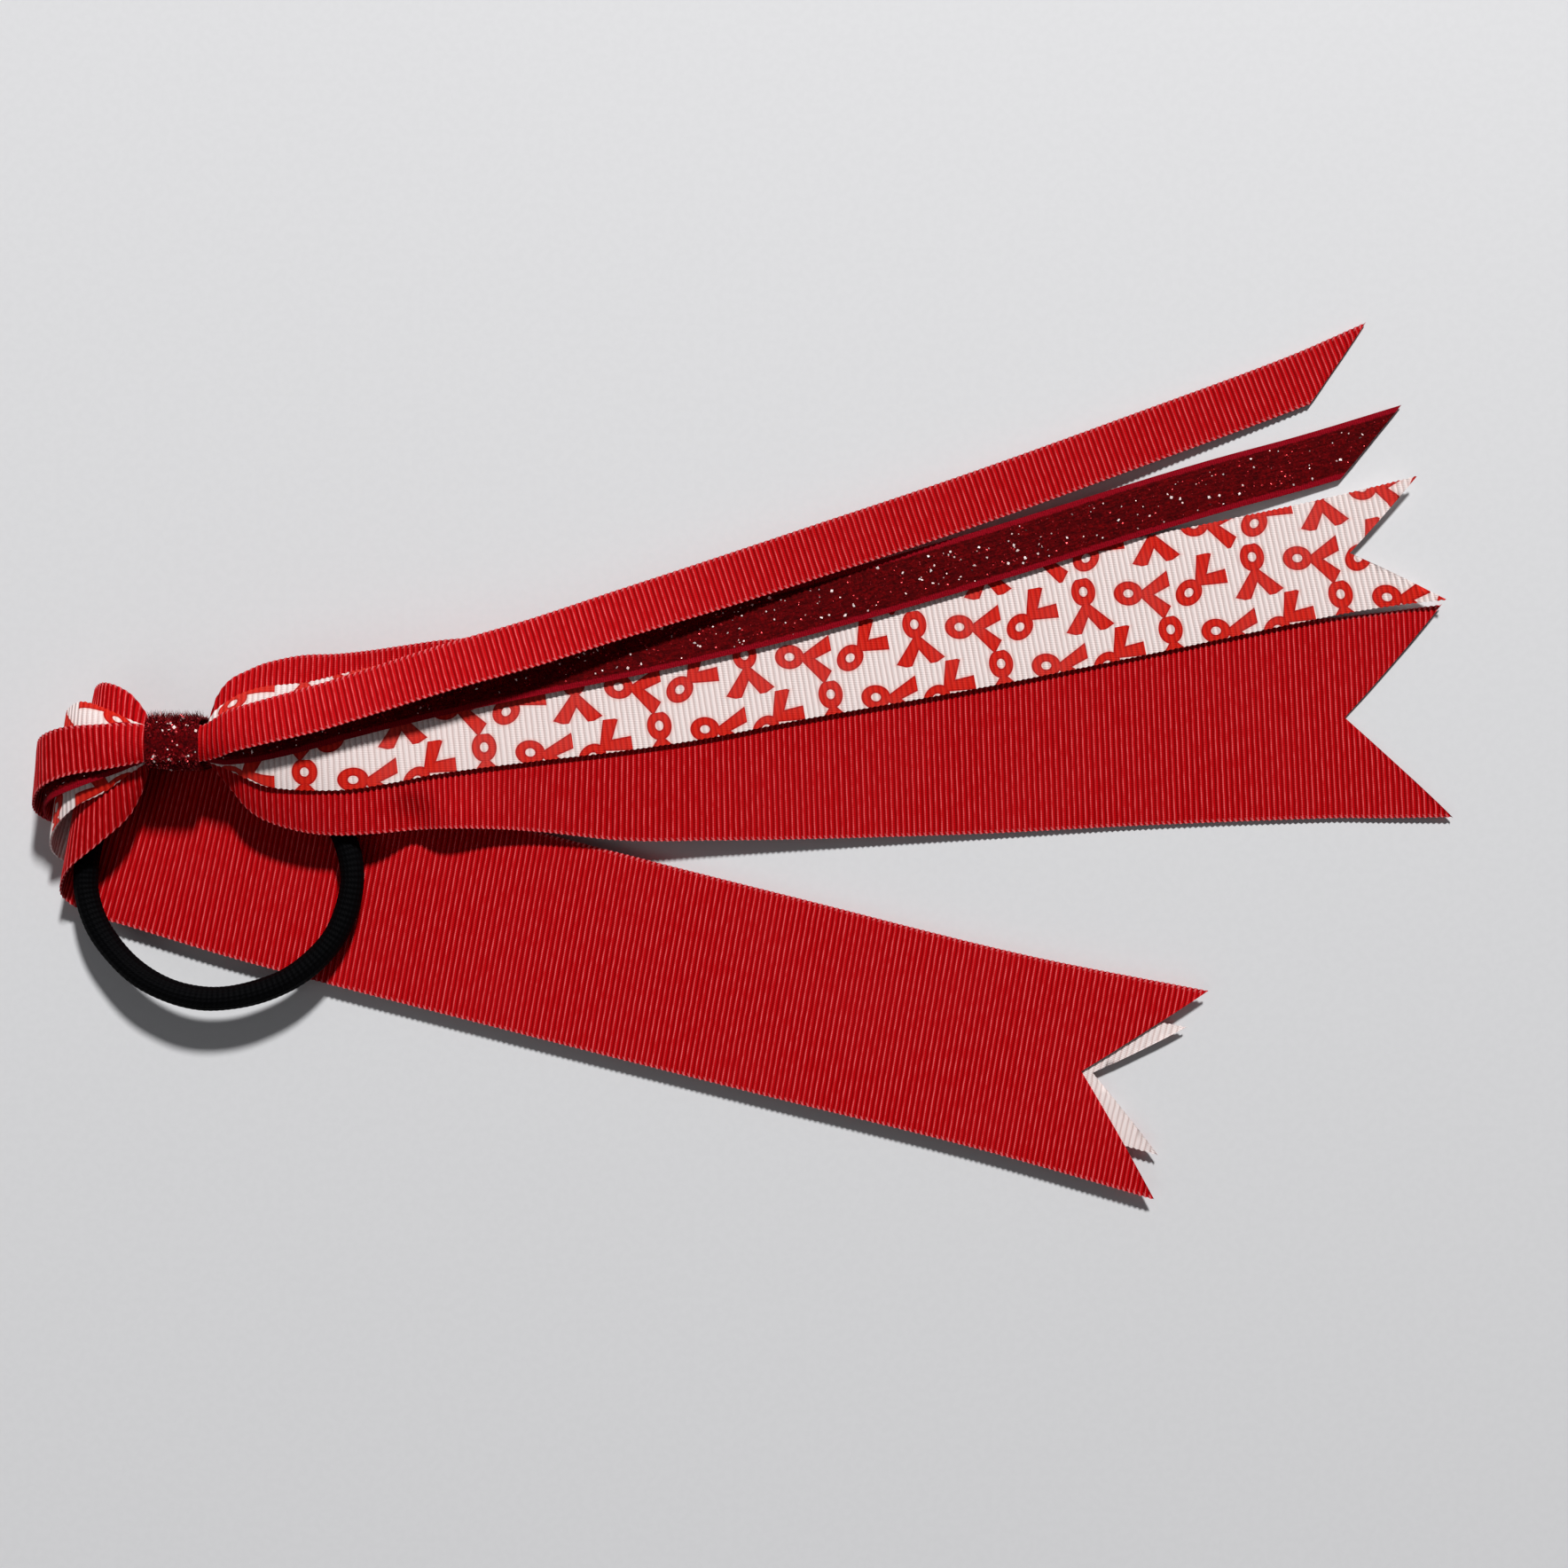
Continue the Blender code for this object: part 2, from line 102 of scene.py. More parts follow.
# Fold and back streamers
BACK_LEVEL = {"wide": 2.505, "print": 1.745, "glitter": 0.985, "narrow": 0.225}
SEAM = (-112.5, -14.2)
SEAM_LEAN = -16.0
BACK_LINE = ((-89.7, -21.1, -15.0), (-35.8, -35.2, -14.1), (6.8, -46.0, -14.0), (48.8, -56.5, -13.8))
BACK_END = {
    "wide": (83.6, -64.9, -14.5),
    "print": (82.0, -64.2, -12.5),
    "glitter": (57.8, -58.7, -13.8),
    "narrow": (55.8, -58.2, -13.8),
}
SPLAY = {"wide": 1.5, "print": 1.4, "glitter": 0.0, "narrow": 0.0}
NOTCH = {"wide": 19.6, "print": 15.6}
SLANT = {"glitter": 15.0, "narrow": 15.8}

# How far along the wide back streamer its ribs start to lean
SKEW_FROM = 30.0
SKEW_EASE = 30.0

# Flecks and fibres on the pile
FLECK_LEAN = 0.42
FLECK_LIFT = 0.03
FLECK_THIN = 0.025
# How much larger the flecks painted as glints are.
GLINT_SCALE = 1.4
FIBRE_LEAN = 0.45
FIBRE_ROOT = 0.1
FIBRE_RADIUS = 0.065

# Depth of the bump on ribbed cloth, in metres
RIB_BUMP = 0.00009

# Elastic
CORD_RADIUS = 2.3
SLEEVE_THICK = 0.5
CORD_LEVEL = 8.2
JOINT_LONG = 5.4
BRAID_PITCH = 2.1
BRAID_STRANDS = 9

# Stations along each front streamer: x, y, z of the middle, lean of the width from +Y (degrees),
# half width, fall of the edges below the middle, fall of the upper edge below the lower one.
FRONT = {
    "wide": (
        (-98.3, 3.4, 12.4, 2, 7.2, 2.2, 0),
        (-96.0, 3.5, 12.4, 2, 10.3, 2.6, 0),
        (-92.8, 2.8, 12.3, 0, 13.0, 2.6, 0),
        (-89.4, 2.4, 12.1, 0, 14.8, 2.4, 0),
        (-82.8, 2.1, 11.8, 0, 16.5, 2.0, 0),
        (-76.2, 1.9, 11.2, 0, 17.0, 1.4, 0),
        (-69.6, 2.4, 10.0, 2, 17.2, 0.8, 0),
        (-63.0, 3.2, 8.6, 3, 17.4, 0.3, 0),
        (-56.0, 3.9, 7.3, 2, 17.8, 0, 0),
        (-47.0, 4.2, 6.3, 0, 18.2, 0, 0),
        (-37.4, 4.0, 5.4, -3, 18.6, 0, 0),
        (-22.0, 2.8, 4.4, -1, WIDE_HALF, 0, 0),
        (-6.8, 2.8, 3.2, 1, WIDE_HALF, 0, 0),
        (10.0, 3.0, 2.2, 2, WIDE_HALF, 0, 0),
        (44.0, 4.0, 1.0, 2, WIDE_HALF, 0, 0),
        (77.6, 5.7, 0.6, 2.4, WIDE_HALF, 0, 0),
        (112.0, 7.1, 0.6, 3, WIDE_HALF + 0.1, 0, 0),
        (122.0, 7.6, 0.7, 3, WIDE_HALF + 0.6, 0, 0),
        (134.8, 8.5, 1.0, 3, WIDE_HALF + 1.3, 0, 0),
    ),
    "print": (
        (-98.3, 3.0, 13.5, 2, 4.9, 1.3, 0),
        (-95.0, 3.6, 13.6, 1, 6.9, 1.4, 0),
        (-92.0, 3.6, 13.5, 0, 8.3, 1.1, 0),
        (-88.9, 3.4, 13.3, 0, 9.3, 1.0, 0),
        (-84.5, 3.3, 13.0, 0, 9.8, 0.9, 0),
        (-80.0, 3.5, 12.6, 1, 10.2, 0.7, 0),
        (-74.0, 4.3, 11.8, 4, 10.8, 0.4, 0),
        (-66.7, 5.8, 10.3, 6, PRINT_HALF, 0.2, 0),
        (-58.2, 7.5, 8.7, 6, PRINT_HALF, 0.1, 0),
        (-40.8, 9.8, 6.7, 7, PRINT_HALF, 0, 0),
        (-24.8, 11.7, 5.6, 8, PRINT_HALF, 0, 0),
        (-8.3, 14.2, 4.4, 9, PRINT_HALF, 0, 0),
        (8.2, 17.5, 3.4, 9.5, PRINT_HALF, 0, 0),
        (42.3, 23.6, 2.2, 10.5, PRINT_HALF, 0, 0),
        (76.3, 30.4, 1.6, 11.5, PRINT_HALF, 0, 0),
        (110.3, 37.5, 1.8, 12.5, PRINT_HALF, 0, 0),
        (122.0, 39.8, 2.3, 13, PRINT_HALF + 0.4, 0, 0),
        (131.2, 41.4, 3.0, 13.5, PRINT_HALF + 1.0, 0, 0),
    ),
    "glitter": (
        (-98.3, 2.3, 14.5, 1, 3.9, 0.9, 0),
        (-96.0, 2.5, 14.9, 2, 4.4, 0.8, 0),
        (-92.5, 3.3, 15.0, 3, 4.9, 0.7, 0),
        (-89.0, 4.0, 14.9, 5, GLITTER_HALF, 0.5, 0),
        (-81.6, 5.8, 14.1, 9, GLITTER_HALF, 0.3, 0),
        (-73.6, 8.1, 12.9, 12, GLITTER_HALF, 0.1, 0),
        (-57.4, 12.3, 10.0, 13, GLITTER_HALF, 0, 0),
        (-40.5, 16.0, 7.8, 11, GLITTER_HALF, 0, 0),
        (-24.0, 19.4, 6.6, 12, GLITTER_HALF, 0, 0),
        (-7.4, 23.1, 5.4, 13, GLITTER_HALF, 0, 0),
        (9.3, 27.2, 4.4, 15, GLITTER_HALF, 0, 0),
        (42.8, 36.8, 3.2, 16.5, GLITTER_HALF, 0, 0),
        (76.9, 47.4, 2.4, 15.5, GLITTER_HALF, 0, 0),
        (92.0, 51.9, 1.9, 15, GLITTER_HALF, 0, 0),
        (108.0, 56.3, 1.1, 14.5, GLITTER_HALF, 0, 0),
        (127.4, 62.2, 0.6, 14.5, GLITTER_HALF, 0, 0),
    ),
    "narrow": (
        (-97.0, 3.2, 16.2, 4, 3.7, 0.8, 0.3),
        (-94.4, 4.3, 17.0, 7, 3.9, 0.6, 0.8),
        (-87.7, 6.1, 17.3, 11, 4.1, 0.4, 1.4),
        (-79.7, 8.2, 16.6, 14.5, 4.3, 0.3, 1.6),
        (-71.6, 10.7, 15.6, 17, 4.3, 0.2, 1.6),
        (-55.5, 16.0, 13.6, 17.5, 4.4, 0, 1.5),
        (-39.2, 20.9, 11.4, 18, 4.5, 0, 1.3),
        (-22.8, 26.4, 9.4, 18, 4.6, 0, 1.0),
        (-6.2, 31.8, 7.6, 18, 4.8, 0, 0.6),
        (10.5, 37.4, 6.0, 18, 4.9, 0, 0.2),
        (44.5, 48.9, 3.9, 19, NARROW_HALF, 0, 0),
        (78.6, 61.4, 1.8, 20, NARROW_HALF, 0, 0),
        (105.8, 71.6, 0.8, 21.5, NARROW_HALF, 0, 0),
        (121.2, 78.3, 0.6, 22, NARROW_HALF, 0, 0),
    ),
}

# The same for each loop, from the wrap's left mouth round the fold to the flat run before the seam.
LOOP = {
    "wide": (
        (-112.3, 0.4, 12.5, -3, 7.4, 2.4, 0),
        (-114.8, 0.1, 13.1, 0, 11.4, 2.4, 0),
        (-119.2, -1.4, 13.2, -2, 14.8, 1.4, 0),
        (-123.4, -4.2, 11.2, -8, 16.9, 0.7, 0),
        (-125.2, -6.8, 7.6, -11, 18.0, 0.2, 0),
        (-124.6, -8.9, 4.4, -14, 18.8, 0, 0),
        (-121.0, -11.2, 2.9, -16, WIDE_HALF, 0, 0),
        (-117.0, -12.9, 2.505, -16, WIDE_HALF, 0, 0),
    ),
    "print": (
        (-113.0, 1.6, 14.2, 0, 4.4, 1.0, 0),
        (-118.7, 0.8, 15.0, 0, 7.8, 1.4, 0),
        (-123.2, 0.2, 14.6, -2, 9.6, 1.0, 0),
        (-127.0, -2.4, 12.0, -5, 10.6, 0.5, 0),
        (-128.6, -5.6, 8.0, -10, PRINT_HALF, 0.2, 0),
        (-127.6, -8.6, 3.9, -15, PRINT_HALF, 0, 0),
        (-123.5, -11.0, 1.95, -16, PRINT_HALF, 0, 0),
        (-118.0, -12.6, 1.745, -16, PRINT_HALF, 0, 0),
    ),
    "glitter": (
        (-112.2, 1.9, 14.8, 0, 3.7, 0.8, 0),
        (-115.5, 1.3, 15.7, 1, 4.6, 0.6, 0),
        (-122.5, -0.8, 16.0, 2, GLITTER_HALF, 0.2, 0),
        (-128.2, -3.2, 13.8, -2, GLITTER_HALF, 0, 0),
        (-130.8, -5.8, 8.6, -8, GLITTER_HALF, 0, 0),
        (-129.8, -8.3, 3.1, -14, GLITTER_HALF, 0, 0),
        (-125.0, -10.6, 1.1, -16, GLITTER_HALF, 0, 0),
        (-119.0, -12.3, 0.985, -16, GLITTER_HALF, 0, 0),
    ),
    "narrow": (
        (-112.2, 2.0, 15.9, 1, 3.6, 0.8, 0),
        (-114.5, 1.8, 16.9, 2, 3.9, 0.6, 0),
        (-118.5, 1.3, 17.4, 4, 4.2, 0.2, 0),
        (-125.0, 0.5, 16.9, 4, 4.5, 0, 0),
        (-129.9, -1.3, 14.7, 0, 4.7, 0, 0),
        (-132.5, -3.8, 10.0, -6, NARROW_HALF, 0, 0),
        (-132.8, -6.2, 5.5, -12, NARROW_HALF, 0, 0),
        (-130.4, -8.3, 1.6, -14, NARROW_HALF, 0, 0),
        (-125.8, -10.3, 0.32, -16, NARROW_HALF, 0, 0),
        (-121.0, -11.7, 0.225, -16, NARROW_HALF, 0, 0),
        (-117.0, -12.9, 0.225, -16, NARROW_HALF, 0, 0),
    ),
}

# The elastic's path, from the wrap's right mouth round the ring to its left mouth.
CORD = (
    (-99.0, 2.0, 8.1),
    (-90.0, -0.4, 7.3),
    (-81.5, -6.6, 6.3),
    (-75.6, -15.5, 5.9),
    (-74.0, -24.5, 6.0),
    (-77.6, -35.0, 6.6),
    (-86.6, -42.8, 7.4),
    (-99.9, -46.0, 7.9),
    (-111.5, -43.0, 7.4),
    (-120.3, -35.2, 6.5),
    (-124.2, -26.0, 6.2),
    (-123.3, -16.5, 6.5),
    (-120.3, -7.0, 7.0),
    (-115.0, 0.4, 7.9),
)


# ---------------------------------------------------------------- lay of the cloth


class Strip:
    """A strip of cloth through stations, on smooth curves through the rows of a table."""

    def __init__(self, rows):
        self.rows = np.array(rows, float)
        steps = np.linalg.norm(np.diff(self.rows[:, :3], axis=0), axis=1)
        self.knots = np.concatenate(([0.0], np.cumsum(steps)))
        self.length = float(self.knots[-1])
        n = np.arange(len(self.rows))
        low = np.maximum(n - 1, 0)
        high = np.minimum(n + 1, len(n) - 1)
        self.slopes = (self.rows[high] - self.rows[low]) / (self.knots[high] - self.knots[low])[:, None]

    def row(self, u):
        u = np.clip(u, 0.0, self.length)
        i = np.clip(np.searchsorted(self.knots, u, side="right") - 1, 0, len(self.knots) - 2)
        step = (self.knots[i + 1] - self.knots[i])[..., None]
        f = (u - self.knots[i])[..., None] / step
        return (
            (2 * f**3 - 3 * f**2 + 1) * self.rows[i]
            + (f**3 - 2 * f**2 + f) * step * self.slopes[i]
            + (3 * f**2 - 2 * f**3) * self.rows[i + 1]
            + (f**3 - f**2) * step * self.slopes[i + 1]
        )

    def at(self, u, v):
        """Points u millimetres along and v from -1 to 1 across."""
        x, y, z, lean, half, drop, tilt = np.moveaxis(self.row(u), -1, 0)
        a = np.radians(lean)
        side = v * half
        return np.stack((x - side * np.sin(a), y + side * np.cos(a), z - drop * v * v - tilt * v), -1) + PLACE

    def facing(self, u, v):
        """Unit normals of the cloth."""
        e = 0.25
        inner = np.clip(u, e, self.length - e)
        along = self.at(inner + e, v) - self.at(inner - e, v)
        across = self.at(inner, v + 0.02) - self.at(inner, v - 0.02)
        n = np.cross(along, across)
        return n / np.linalg.norm(n, axis=-1, keepdims=True)


def pinch(name, x):
    return (x, KNOT_Y, PINCH_LEVEL[name], 0, PINCH_HALF, PINCH_DROP, 0)


def front_strip(name):
    """From the middle of the wrap to the front tip."""
    return Strip([pinch(name, KNOT_X + 0.15), pinch(name, KNOT_X + WRAP_LONG / 2 + 0.3), *FRONT[name]])


def back_strip(name):
    """From the middle of the wrap round the fold and along to the back tip."""
    level = BACK_LEVEL[name]
    rows = [pinch(name, KNOT_X - 0.15), pinch(name, KNOT_X - WRAP_LONG / 2), *LOOP[name]]
    rows.append((*SEAM, level, SEAM_LEAN, HALF[name], 0, 0))
    for x, y, turn in BACK_LINE:
        rows.append((x, y, level, turn, HALF[name], 0, 0))
    x, y, turn = BACK_END[name]
    rows.append((x, y, level, turn, HALF[name] + SPLAY[name], 0, 0))
    return Strip(rows)


def cut_at(name, strip, v):
    """Where the cloth ends: a V notch on the two wide ribbons, a slant on the two narrow ones."""
    if name in NOTCH:
        return strip.length - NOTCH[name] * (1 - np.abs(v))
    return strip.length - SLANT[name] * (1 - v) / 2


def ease(x, low, high):
    t = np.clip((x - low) / (high - low), 0, 1)
    return t * t * (3 - 2 * t)


# ---------------------------------------------------------------- meshes


def new_object(label, mesh, materials):
    obj = bpy.data.objects.new(label, mesh)
    bpy.context.scene.collection.objects.link(obj)
    for made in materials:
        obj.data.materials.append(made)
    return obj


def shell(label, middle, normal, half, cloth, materials, stop=None, closed=False):
    """A sheet with thickness. middle, normal, half thickness and cloth coordinates are grids; stop is each column's
    last row. Its faces are outer, inner, long edges and cut ends, in that order of material."""
    rows, cols = half.shape
    stop = np.full(cols, rows - 1) if stop is None else stop
    row_of = np.minimum(np.arange(rows)[:, None], stop[None, :])
    top = row_of * cols + np.arange(cols)
    low = top + rows * cols
    out = middle + normal * half[..., None]
    back = middle - normal * half[..., None]
    places = np.concatenate((out.reshape(-1, 3), back.reshape(-1, 3))) * MM
    flat = np.concatenate((cloth.reshape(-1, 2), cloth.reshape(-1, 2)))
    faces = []
    kinds = []

    def add(ring, kind):
        kept = [p for n, p in enumerate(ring) if p != ring[n - 1]]
        if len(kept) > 2:
            faces.append(kept)
            kinds.append(kind)

    for i in range(rows - 1):
        t0 = top[i].tolist()
        t1 = top[i + 1].tolist()
        l0 = low[i].tolist()
        l1 = low[i + 1].tolist()
        for j in range(cols - 1):
            add((t0[j], t1[j], t1[j + 1], t0[j + 1]), 0)
            add((l0[j], l0[j + 1], l1[j + 1], l1[j]), 1)
        if not closed:
            add((t0[0], l0[0], l1[0], t1[0]), 2)
            add((t0[-1], t1[-1], l1[-1], l0[-1]), 2)
    for j in range(cols - 1):
        add((top[0, j], top[0, j + 1], low[0, j + 1], low[0, j]), 3)
        a = (top[stop[j], j], low[stop[j], j])
        b = (top[stop[j + 1], j + 1], low[stop[j + 1], j + 1])
        add((a[0], a[1], b[1], b[0]), 3)
    used = np.zeros(len(places), bool)
    used[np.concatenate([np.array(f) for f in faces])] = True
    index = np.cumsum(used) - 1
    mesh = bpy.data.meshes.new(label)
    mesh.from_pydata(places[used], [], [index[f].tolist() for f in faces])
    mesh.polygons.foreach_set("material_index", np.array(kinds, np.int32))
    mesh.polygons.foreach_set("use_smooth", np.ones(len(faces), bool))
    corners = np.zeros(len(mesh.loops), np.int32)
    mesh.loops.foreach_get("vertex_index", corners)
    layer = mesh.uv_layers.new(name="cloth")
    layer.uv.foreach_set("vector", (flat[used][corners] * MM).astype(np.float32).ravel())
    mesh.validate()
    mesh.update()
    obj = new_object(label, mesh, materials)
    sharpen(obj)
    return obj


def sharpen(obj):
    """Keeps the cut edges crisp under smooth shading."""
    bm = bmesh.new()
    bm.from_mesh(obj.data)
    bmesh.ops.recalc_face_normals(bm, faces=bm.faces)
    for edge in bm.edges:
        if len(edge.link_faces) == 2 and edge.calc_face_angle(0) > math.radians(52):
            edge.smooth = False
    bm.to_mesh(obj.data)
    bm.free()


def cloth_grid(name, strip, columns, step, skew=0.0):
    """Rows s along the cloth, where they lie along the strip once cut, places v across, and each column's last row."""
    v = np.linspace(-1, 1, columns + 1)
    cut = cut_at(name, strip, v)
    s = np.arange(math.ceil((float(np.max(cut)) + abs(skew)) / step) + 2) * step
    u = s[:, None] - skew * ease(s, SKEW_FROM, SKEW_FROM + SKEW_EASE)[:, None] * v
    stop = np.array([int(np.argmax(u[:, j] >= cut[j])) for j in range(len(v))])
    return s[:, None], np.minimum(u, cut), v, stop


def ribbed_cloth(label, name, strip, columns, pitch, depth, thick, skew, materials):
    """A ribbon of ribbed weave: rows four to a rib, swelling and thinning, with scalloped edges."""
    s, u, v, stop = cloth_grid(name, strip, columns, pitch / 4, skew)
    wave = np.cos(2 * math.pi * s / pitch)
    edge = np.abs(v) ** 14
    across = v * (1 + (wave * 0.09 * edge) / HALF[name])
    half = thick / 2 + depth * wave * (1 - 0.3 * edge) - 0.05 * edge
    cloth = np.stack((s + 0 * across, across * HALF[name]), -1)
    middle = strip.at(u, across)
    if label == "wide_ribbon_front":
        middle[..., 2] += buckle(u, across)
    return shell(label, middle, strip.facing(u, across), half, cloth, materials, stop)


def buckle(u, v):
    """A soft dent and bulge in the lower edge of the wide front streamer, right of the knot."""
    low = 1 - ease(v, -0.92, -0.5)
    return low * (0.8 * np.exp(-(((u - 52) / 5.0) ** 2)) - 2.7 * np.exp(-(((u - 43) / 4.0) ** 2)))


def plain_cloth(label, name, strip, columns, step, thick, materials):
    """A ribbon of pile cloth with flat bound edges."""
    s, u, v, stop = cloth_grid(name, strip, columns, step)
    across = v + 0 * u
    bound = ease(np.abs(across), 0.70, 0.86)
    uneven = 0.035 * np.sin(u * 5.1 + 9 * across) + 0.03 * np.sin(u * 3.3 - 14 * across + 1.3)
    half = thick / 2 + (0.05 + uneven) * (1 - bound) - 0.07 * bound
    cloth = np.stack((s + 0 * across, across * HALF[name]), -1)
    return shell(label, strip.at(u, across), strip.facing(u, across), half, cloth, materials, stop)


def random_axes(rng, normals, lean):
    """For each outward direction, one that leans from it at random and two unit vectors across that."""
    up = normals + lean * rng.normal(size=normals.shape)
    up /= np.linalg.norm(up, axis=1, keepdims=True)
    side = np.cross(up, rng.normal(size=normals.shape))
    side /= np.linalg.norm(side, axis=1, keepdims=True)
    return up, side, np.cross(up, side)


def copies(label, corners, ring, plain, materials):
    """One small closed shape for each row of corners. ring lists its faces, and plain marks those of the second
    material."""
    n, each = corners.shape[:2]
    faces = (np.arange(n)[:, None, None] * each + np.array(ring)[None]).reshape(-1, 3)
    mesh = bpy.data.meshes.new(label)
    mesh.from_pydata(corners.reshape(-1, 3) * MM, [], faces.tolist())
    mesh.polygons.foreach_set("material_index", np.repeat(plain.astype(np.int32), len(ring)))
    mesh.update()
    return new_object(label, mesh, materials)


def flakes(label, places, normals, size, materials, seed, share):
    """Tiny metallic plates scattered on a pile, each a flattened octahedron lying near the surface. share of them are
    larger and of the first material, whose matt pale colour is a painted glint."""
    rng = np.random.default_rng(seed)
    n = len(places)
    up, side, other = random_axes(rng, normals, FLECK_LEAN)
    # The flecks painted as glints.
    glinting = rng.random(n) <= share
    wide = rng.uniform(size[0], size[1], n)[:, None] * np.where(glinting, GLINT_SCALE, 1.0)[:, None]
    long = wide * rng.uniform(0.7, 1.3, n)[:, None]
    centre = places + normals * FLECK_LIFT
    arms = (side * wide, other * long, -side * wide, -other * long, up * FLECK_THIN, -up * FLECK_THIN)
    corners = np.stack([centre + arm for arm in arms], 1)
    ring = ((0, 1, 4), (1, 2, 4), (2, 3, 4), (3, 0, 4), (1, 0, 5), (2, 1, 5), (3, 2, 5), (0, 3, 5))
    return copies(label, corners, ring, ~glinting, materials)


def fibres(label, places, normals, length, materials, seed):
    """Short tinsel fibres standing in the pile, each a slim three-sided spike."""
    rng = np.random.default_rng(seed)
    n = len(places)
    up, side, other = random_axes(rng, normals, FIBRE_LEAN)
    tall = (length * rng.uniform(0.5, 1.1, n))[:, None]
    root = places - normals * FIBRE_ROOT
    turns = np.radians((0, 120, 240))
    foot = [root + FIBRE_RADIUS * (math.cos(a) * side + math.sin(a) * other) for a in turns]
    corners = np.stack((*foot, root + up * tall), 1)
    return copies(label, corners, ((0, 2, 1), (0, 1, 3), (1, 2, 3), (2, 0, 3)), rng.random(n) > 0.3, materials)


def wrap_points(f, w, out):
    """Points of the band round the knot: f from its start to its lapped end, w across from -1 to 1."""
    sweep = 2 * math.pi + 2 * WRAP_LAP
    angle = -math.pi / 2 - WRAP_LAP + f * sweep
    late = (f * sweep - (2 * math.pi - WRAP_LAP)) / (2 * WRAP_LAP)
    out = out + 1.5 * ease(late, 0.0, 1.0)
    c = np.cos(angle)
    s = np.sin(angle)
    y = np.copysign(np.abs(c) ** WRAP_SQUARE, c)
    z = np.copysign(np.abs(s) ** WRAP_SQUARE, s)
    middle = (WRAP_LOW + WRAP_HIGH) / 2
    tall = (WRAP_HIGH - WRAP_LOW) / 2
    x, y, z, out = np.broadcast_arrays(KNOT_X + w * WRAP_LONG / 2, y, z, out)
    return np.stack((x, KNOT_Y + (WRAP_HALF_Y + out) * y, middle + (tall + out) * z), -1) + PLACE


def wrap_facing(f, w, out):
    """Unit vectors straight out of the band."""
    e = 0.002
    along = wrap_points(f + e, w, out) - wrap_points(f - e, w, out)
    normal = np.cross(along, np.broadcast_to((1.0, 0.0, 0.0), along.shape))
    return normal / np.linalg.norm(normal, axis=-1, keepdims=True)


def cord_path(count):
    """The hair tie's middle line, from one side of its bonded joint round to the other."""
    right = KNOT_X + JOINT_LONG / 2
    left = KNOT_X - JOINT_LONG / 2
    first = [(right + 0.3, KNOT_Y, CORD_LEVEL), (right + 1.6, KNOT_Y, CORD_LEVEL)]
    last = [(left - 1.6, KNOT_Y, CORD_LEVEL), (left - 0.3, KNOT_Y, CORD_LEVEL)]
    line = Strip([(*p, 0, 0, 0, 0) for p in (*first, *CORD, *last)])
    rows = line.row(np.linspace(0, line.length, count))
    return rows[:, :3] + PLACE, line.length


def frames(line):
    """Two crosswise unit vectors at each point of a line, without twist."""
    along = np.gradient(line, axis=0)
    along /= np.linalg.norm(along, axis=1, keepdims=True)
    side = np.zeros_like(line)
    side[0] = np.cross(along[0], (0.0, 0.0, 1.0))
    for n in range(1, len(line)):
        side[n] = side[n - 1] - along[n] * np.dot(side[n - 1], along[n])
    side /= np.linalg.norm(side, axis=1, keepdims=True)
    side[0] /= np.linalg.norm(side[0])
    return side, np.cross(along, side)


# ---------------------------------------------------------------- shader tools


class Net:
    """Adds linked nodes to a tree. An input may be a number, a colour or another node's output."""

    def __init__(self, tree):
        self.tree = tree

    def put(self, socket, value):
        if isinstance(value, bpy.types.NodeSocket):
            self.tree.links.new(value, socket)
        elif value is not None:
            socket.default_value = value

    def node(self, kind, **settings):
        made = self.tree.nodes.new(kind)
        for key, value in settings.items():
            setattr(made, key, value)
        return made

    def math(self, operation, a, b=None, c=None):
        made = self.node("ShaderNodeMath", operation=operation)
        for socket, value in zip(made.inputs, (a, b, c)):
            self.put(socket, value)
        return made.outputs[0]

    def add(self, a, b):
        return self.math("ADD", a, b)

    def less(self, a, b):
        return self.math("SUBTRACT", a, b)

    def times(self, a, b):
        return self.math("MULTIPLY", a, b)

    def over(self, a, b):
        return self.math("DIVIDE", a, b)

    def scaled(self, value, by, plus):
        return self.math("MULTIPLY_ADD", value, by, plus)

    def band(self, value, low, high, to_low=0.0, to_high=1.0):
        made = self.node("ShaderNodeMapRange", interpolation_type="SMOOTHSTEP")
        for socket, item in zip(made.inputs, (value, low, high, to_low, to_high)):
            self.put(socket, item)
        return made.outputs[0]

    def mix(self, factor, a, b, blend="MIX"):
        made = self.node("ShaderNodeMix", data_type="RGBA", blend_type=blend)
        self.put(made.inputs["Factor"], factor)
        self.put(made.inputs[6], a)
        self.put(made.inputs[7], b)
        return made.outputs[2]

    def noise(self, vector, scale, detail=2.0, rough=0.5):
        made = self.node("ShaderNodeTexNoise")
        self.put(made.inputs["Vector"], vector)
        for key, value in (("Scale", scale), ("Detail", detail), ("Roughness", rough)):
            self.put(made.inputs[key], value)
        return made.outputs["Fac"]

    def cells(self, vector, scale):
        made = self.node("ShaderNodeTexVoronoi")
        self.put(made.inputs["Vector"], vector)
        self.put(made.inputs["Scale"], scale)
        return made

    def split(self, vector):
        made = self.node("ShaderNodeSeparateXYZ")
        self.put(made.inputs[0], vector)
        return made.outputs

    def joined(self, x, y):
        made = self.node("ShaderNodeCombineXYZ")
        for socket, value in zip(made.inputs, (x, y)):
            self.put(socket, value)
        return made.outputs[0]

    def place(self):
        return self.node("ShaderNodeTexCoord").outputs["Object"]

    def cloth(self):
        return self.split(self.node("ShaderNodeUVMap", uv_map="cloth").outputs[0])

    def group(self, name, **values):
        made = self.node("ShaderNodeGroup", node_tree=bpy.data.node_groups[name])
        for key, value in values.items():
            self.put(made.inputs[key.replace("_", " ")], value)
        return made.outputs


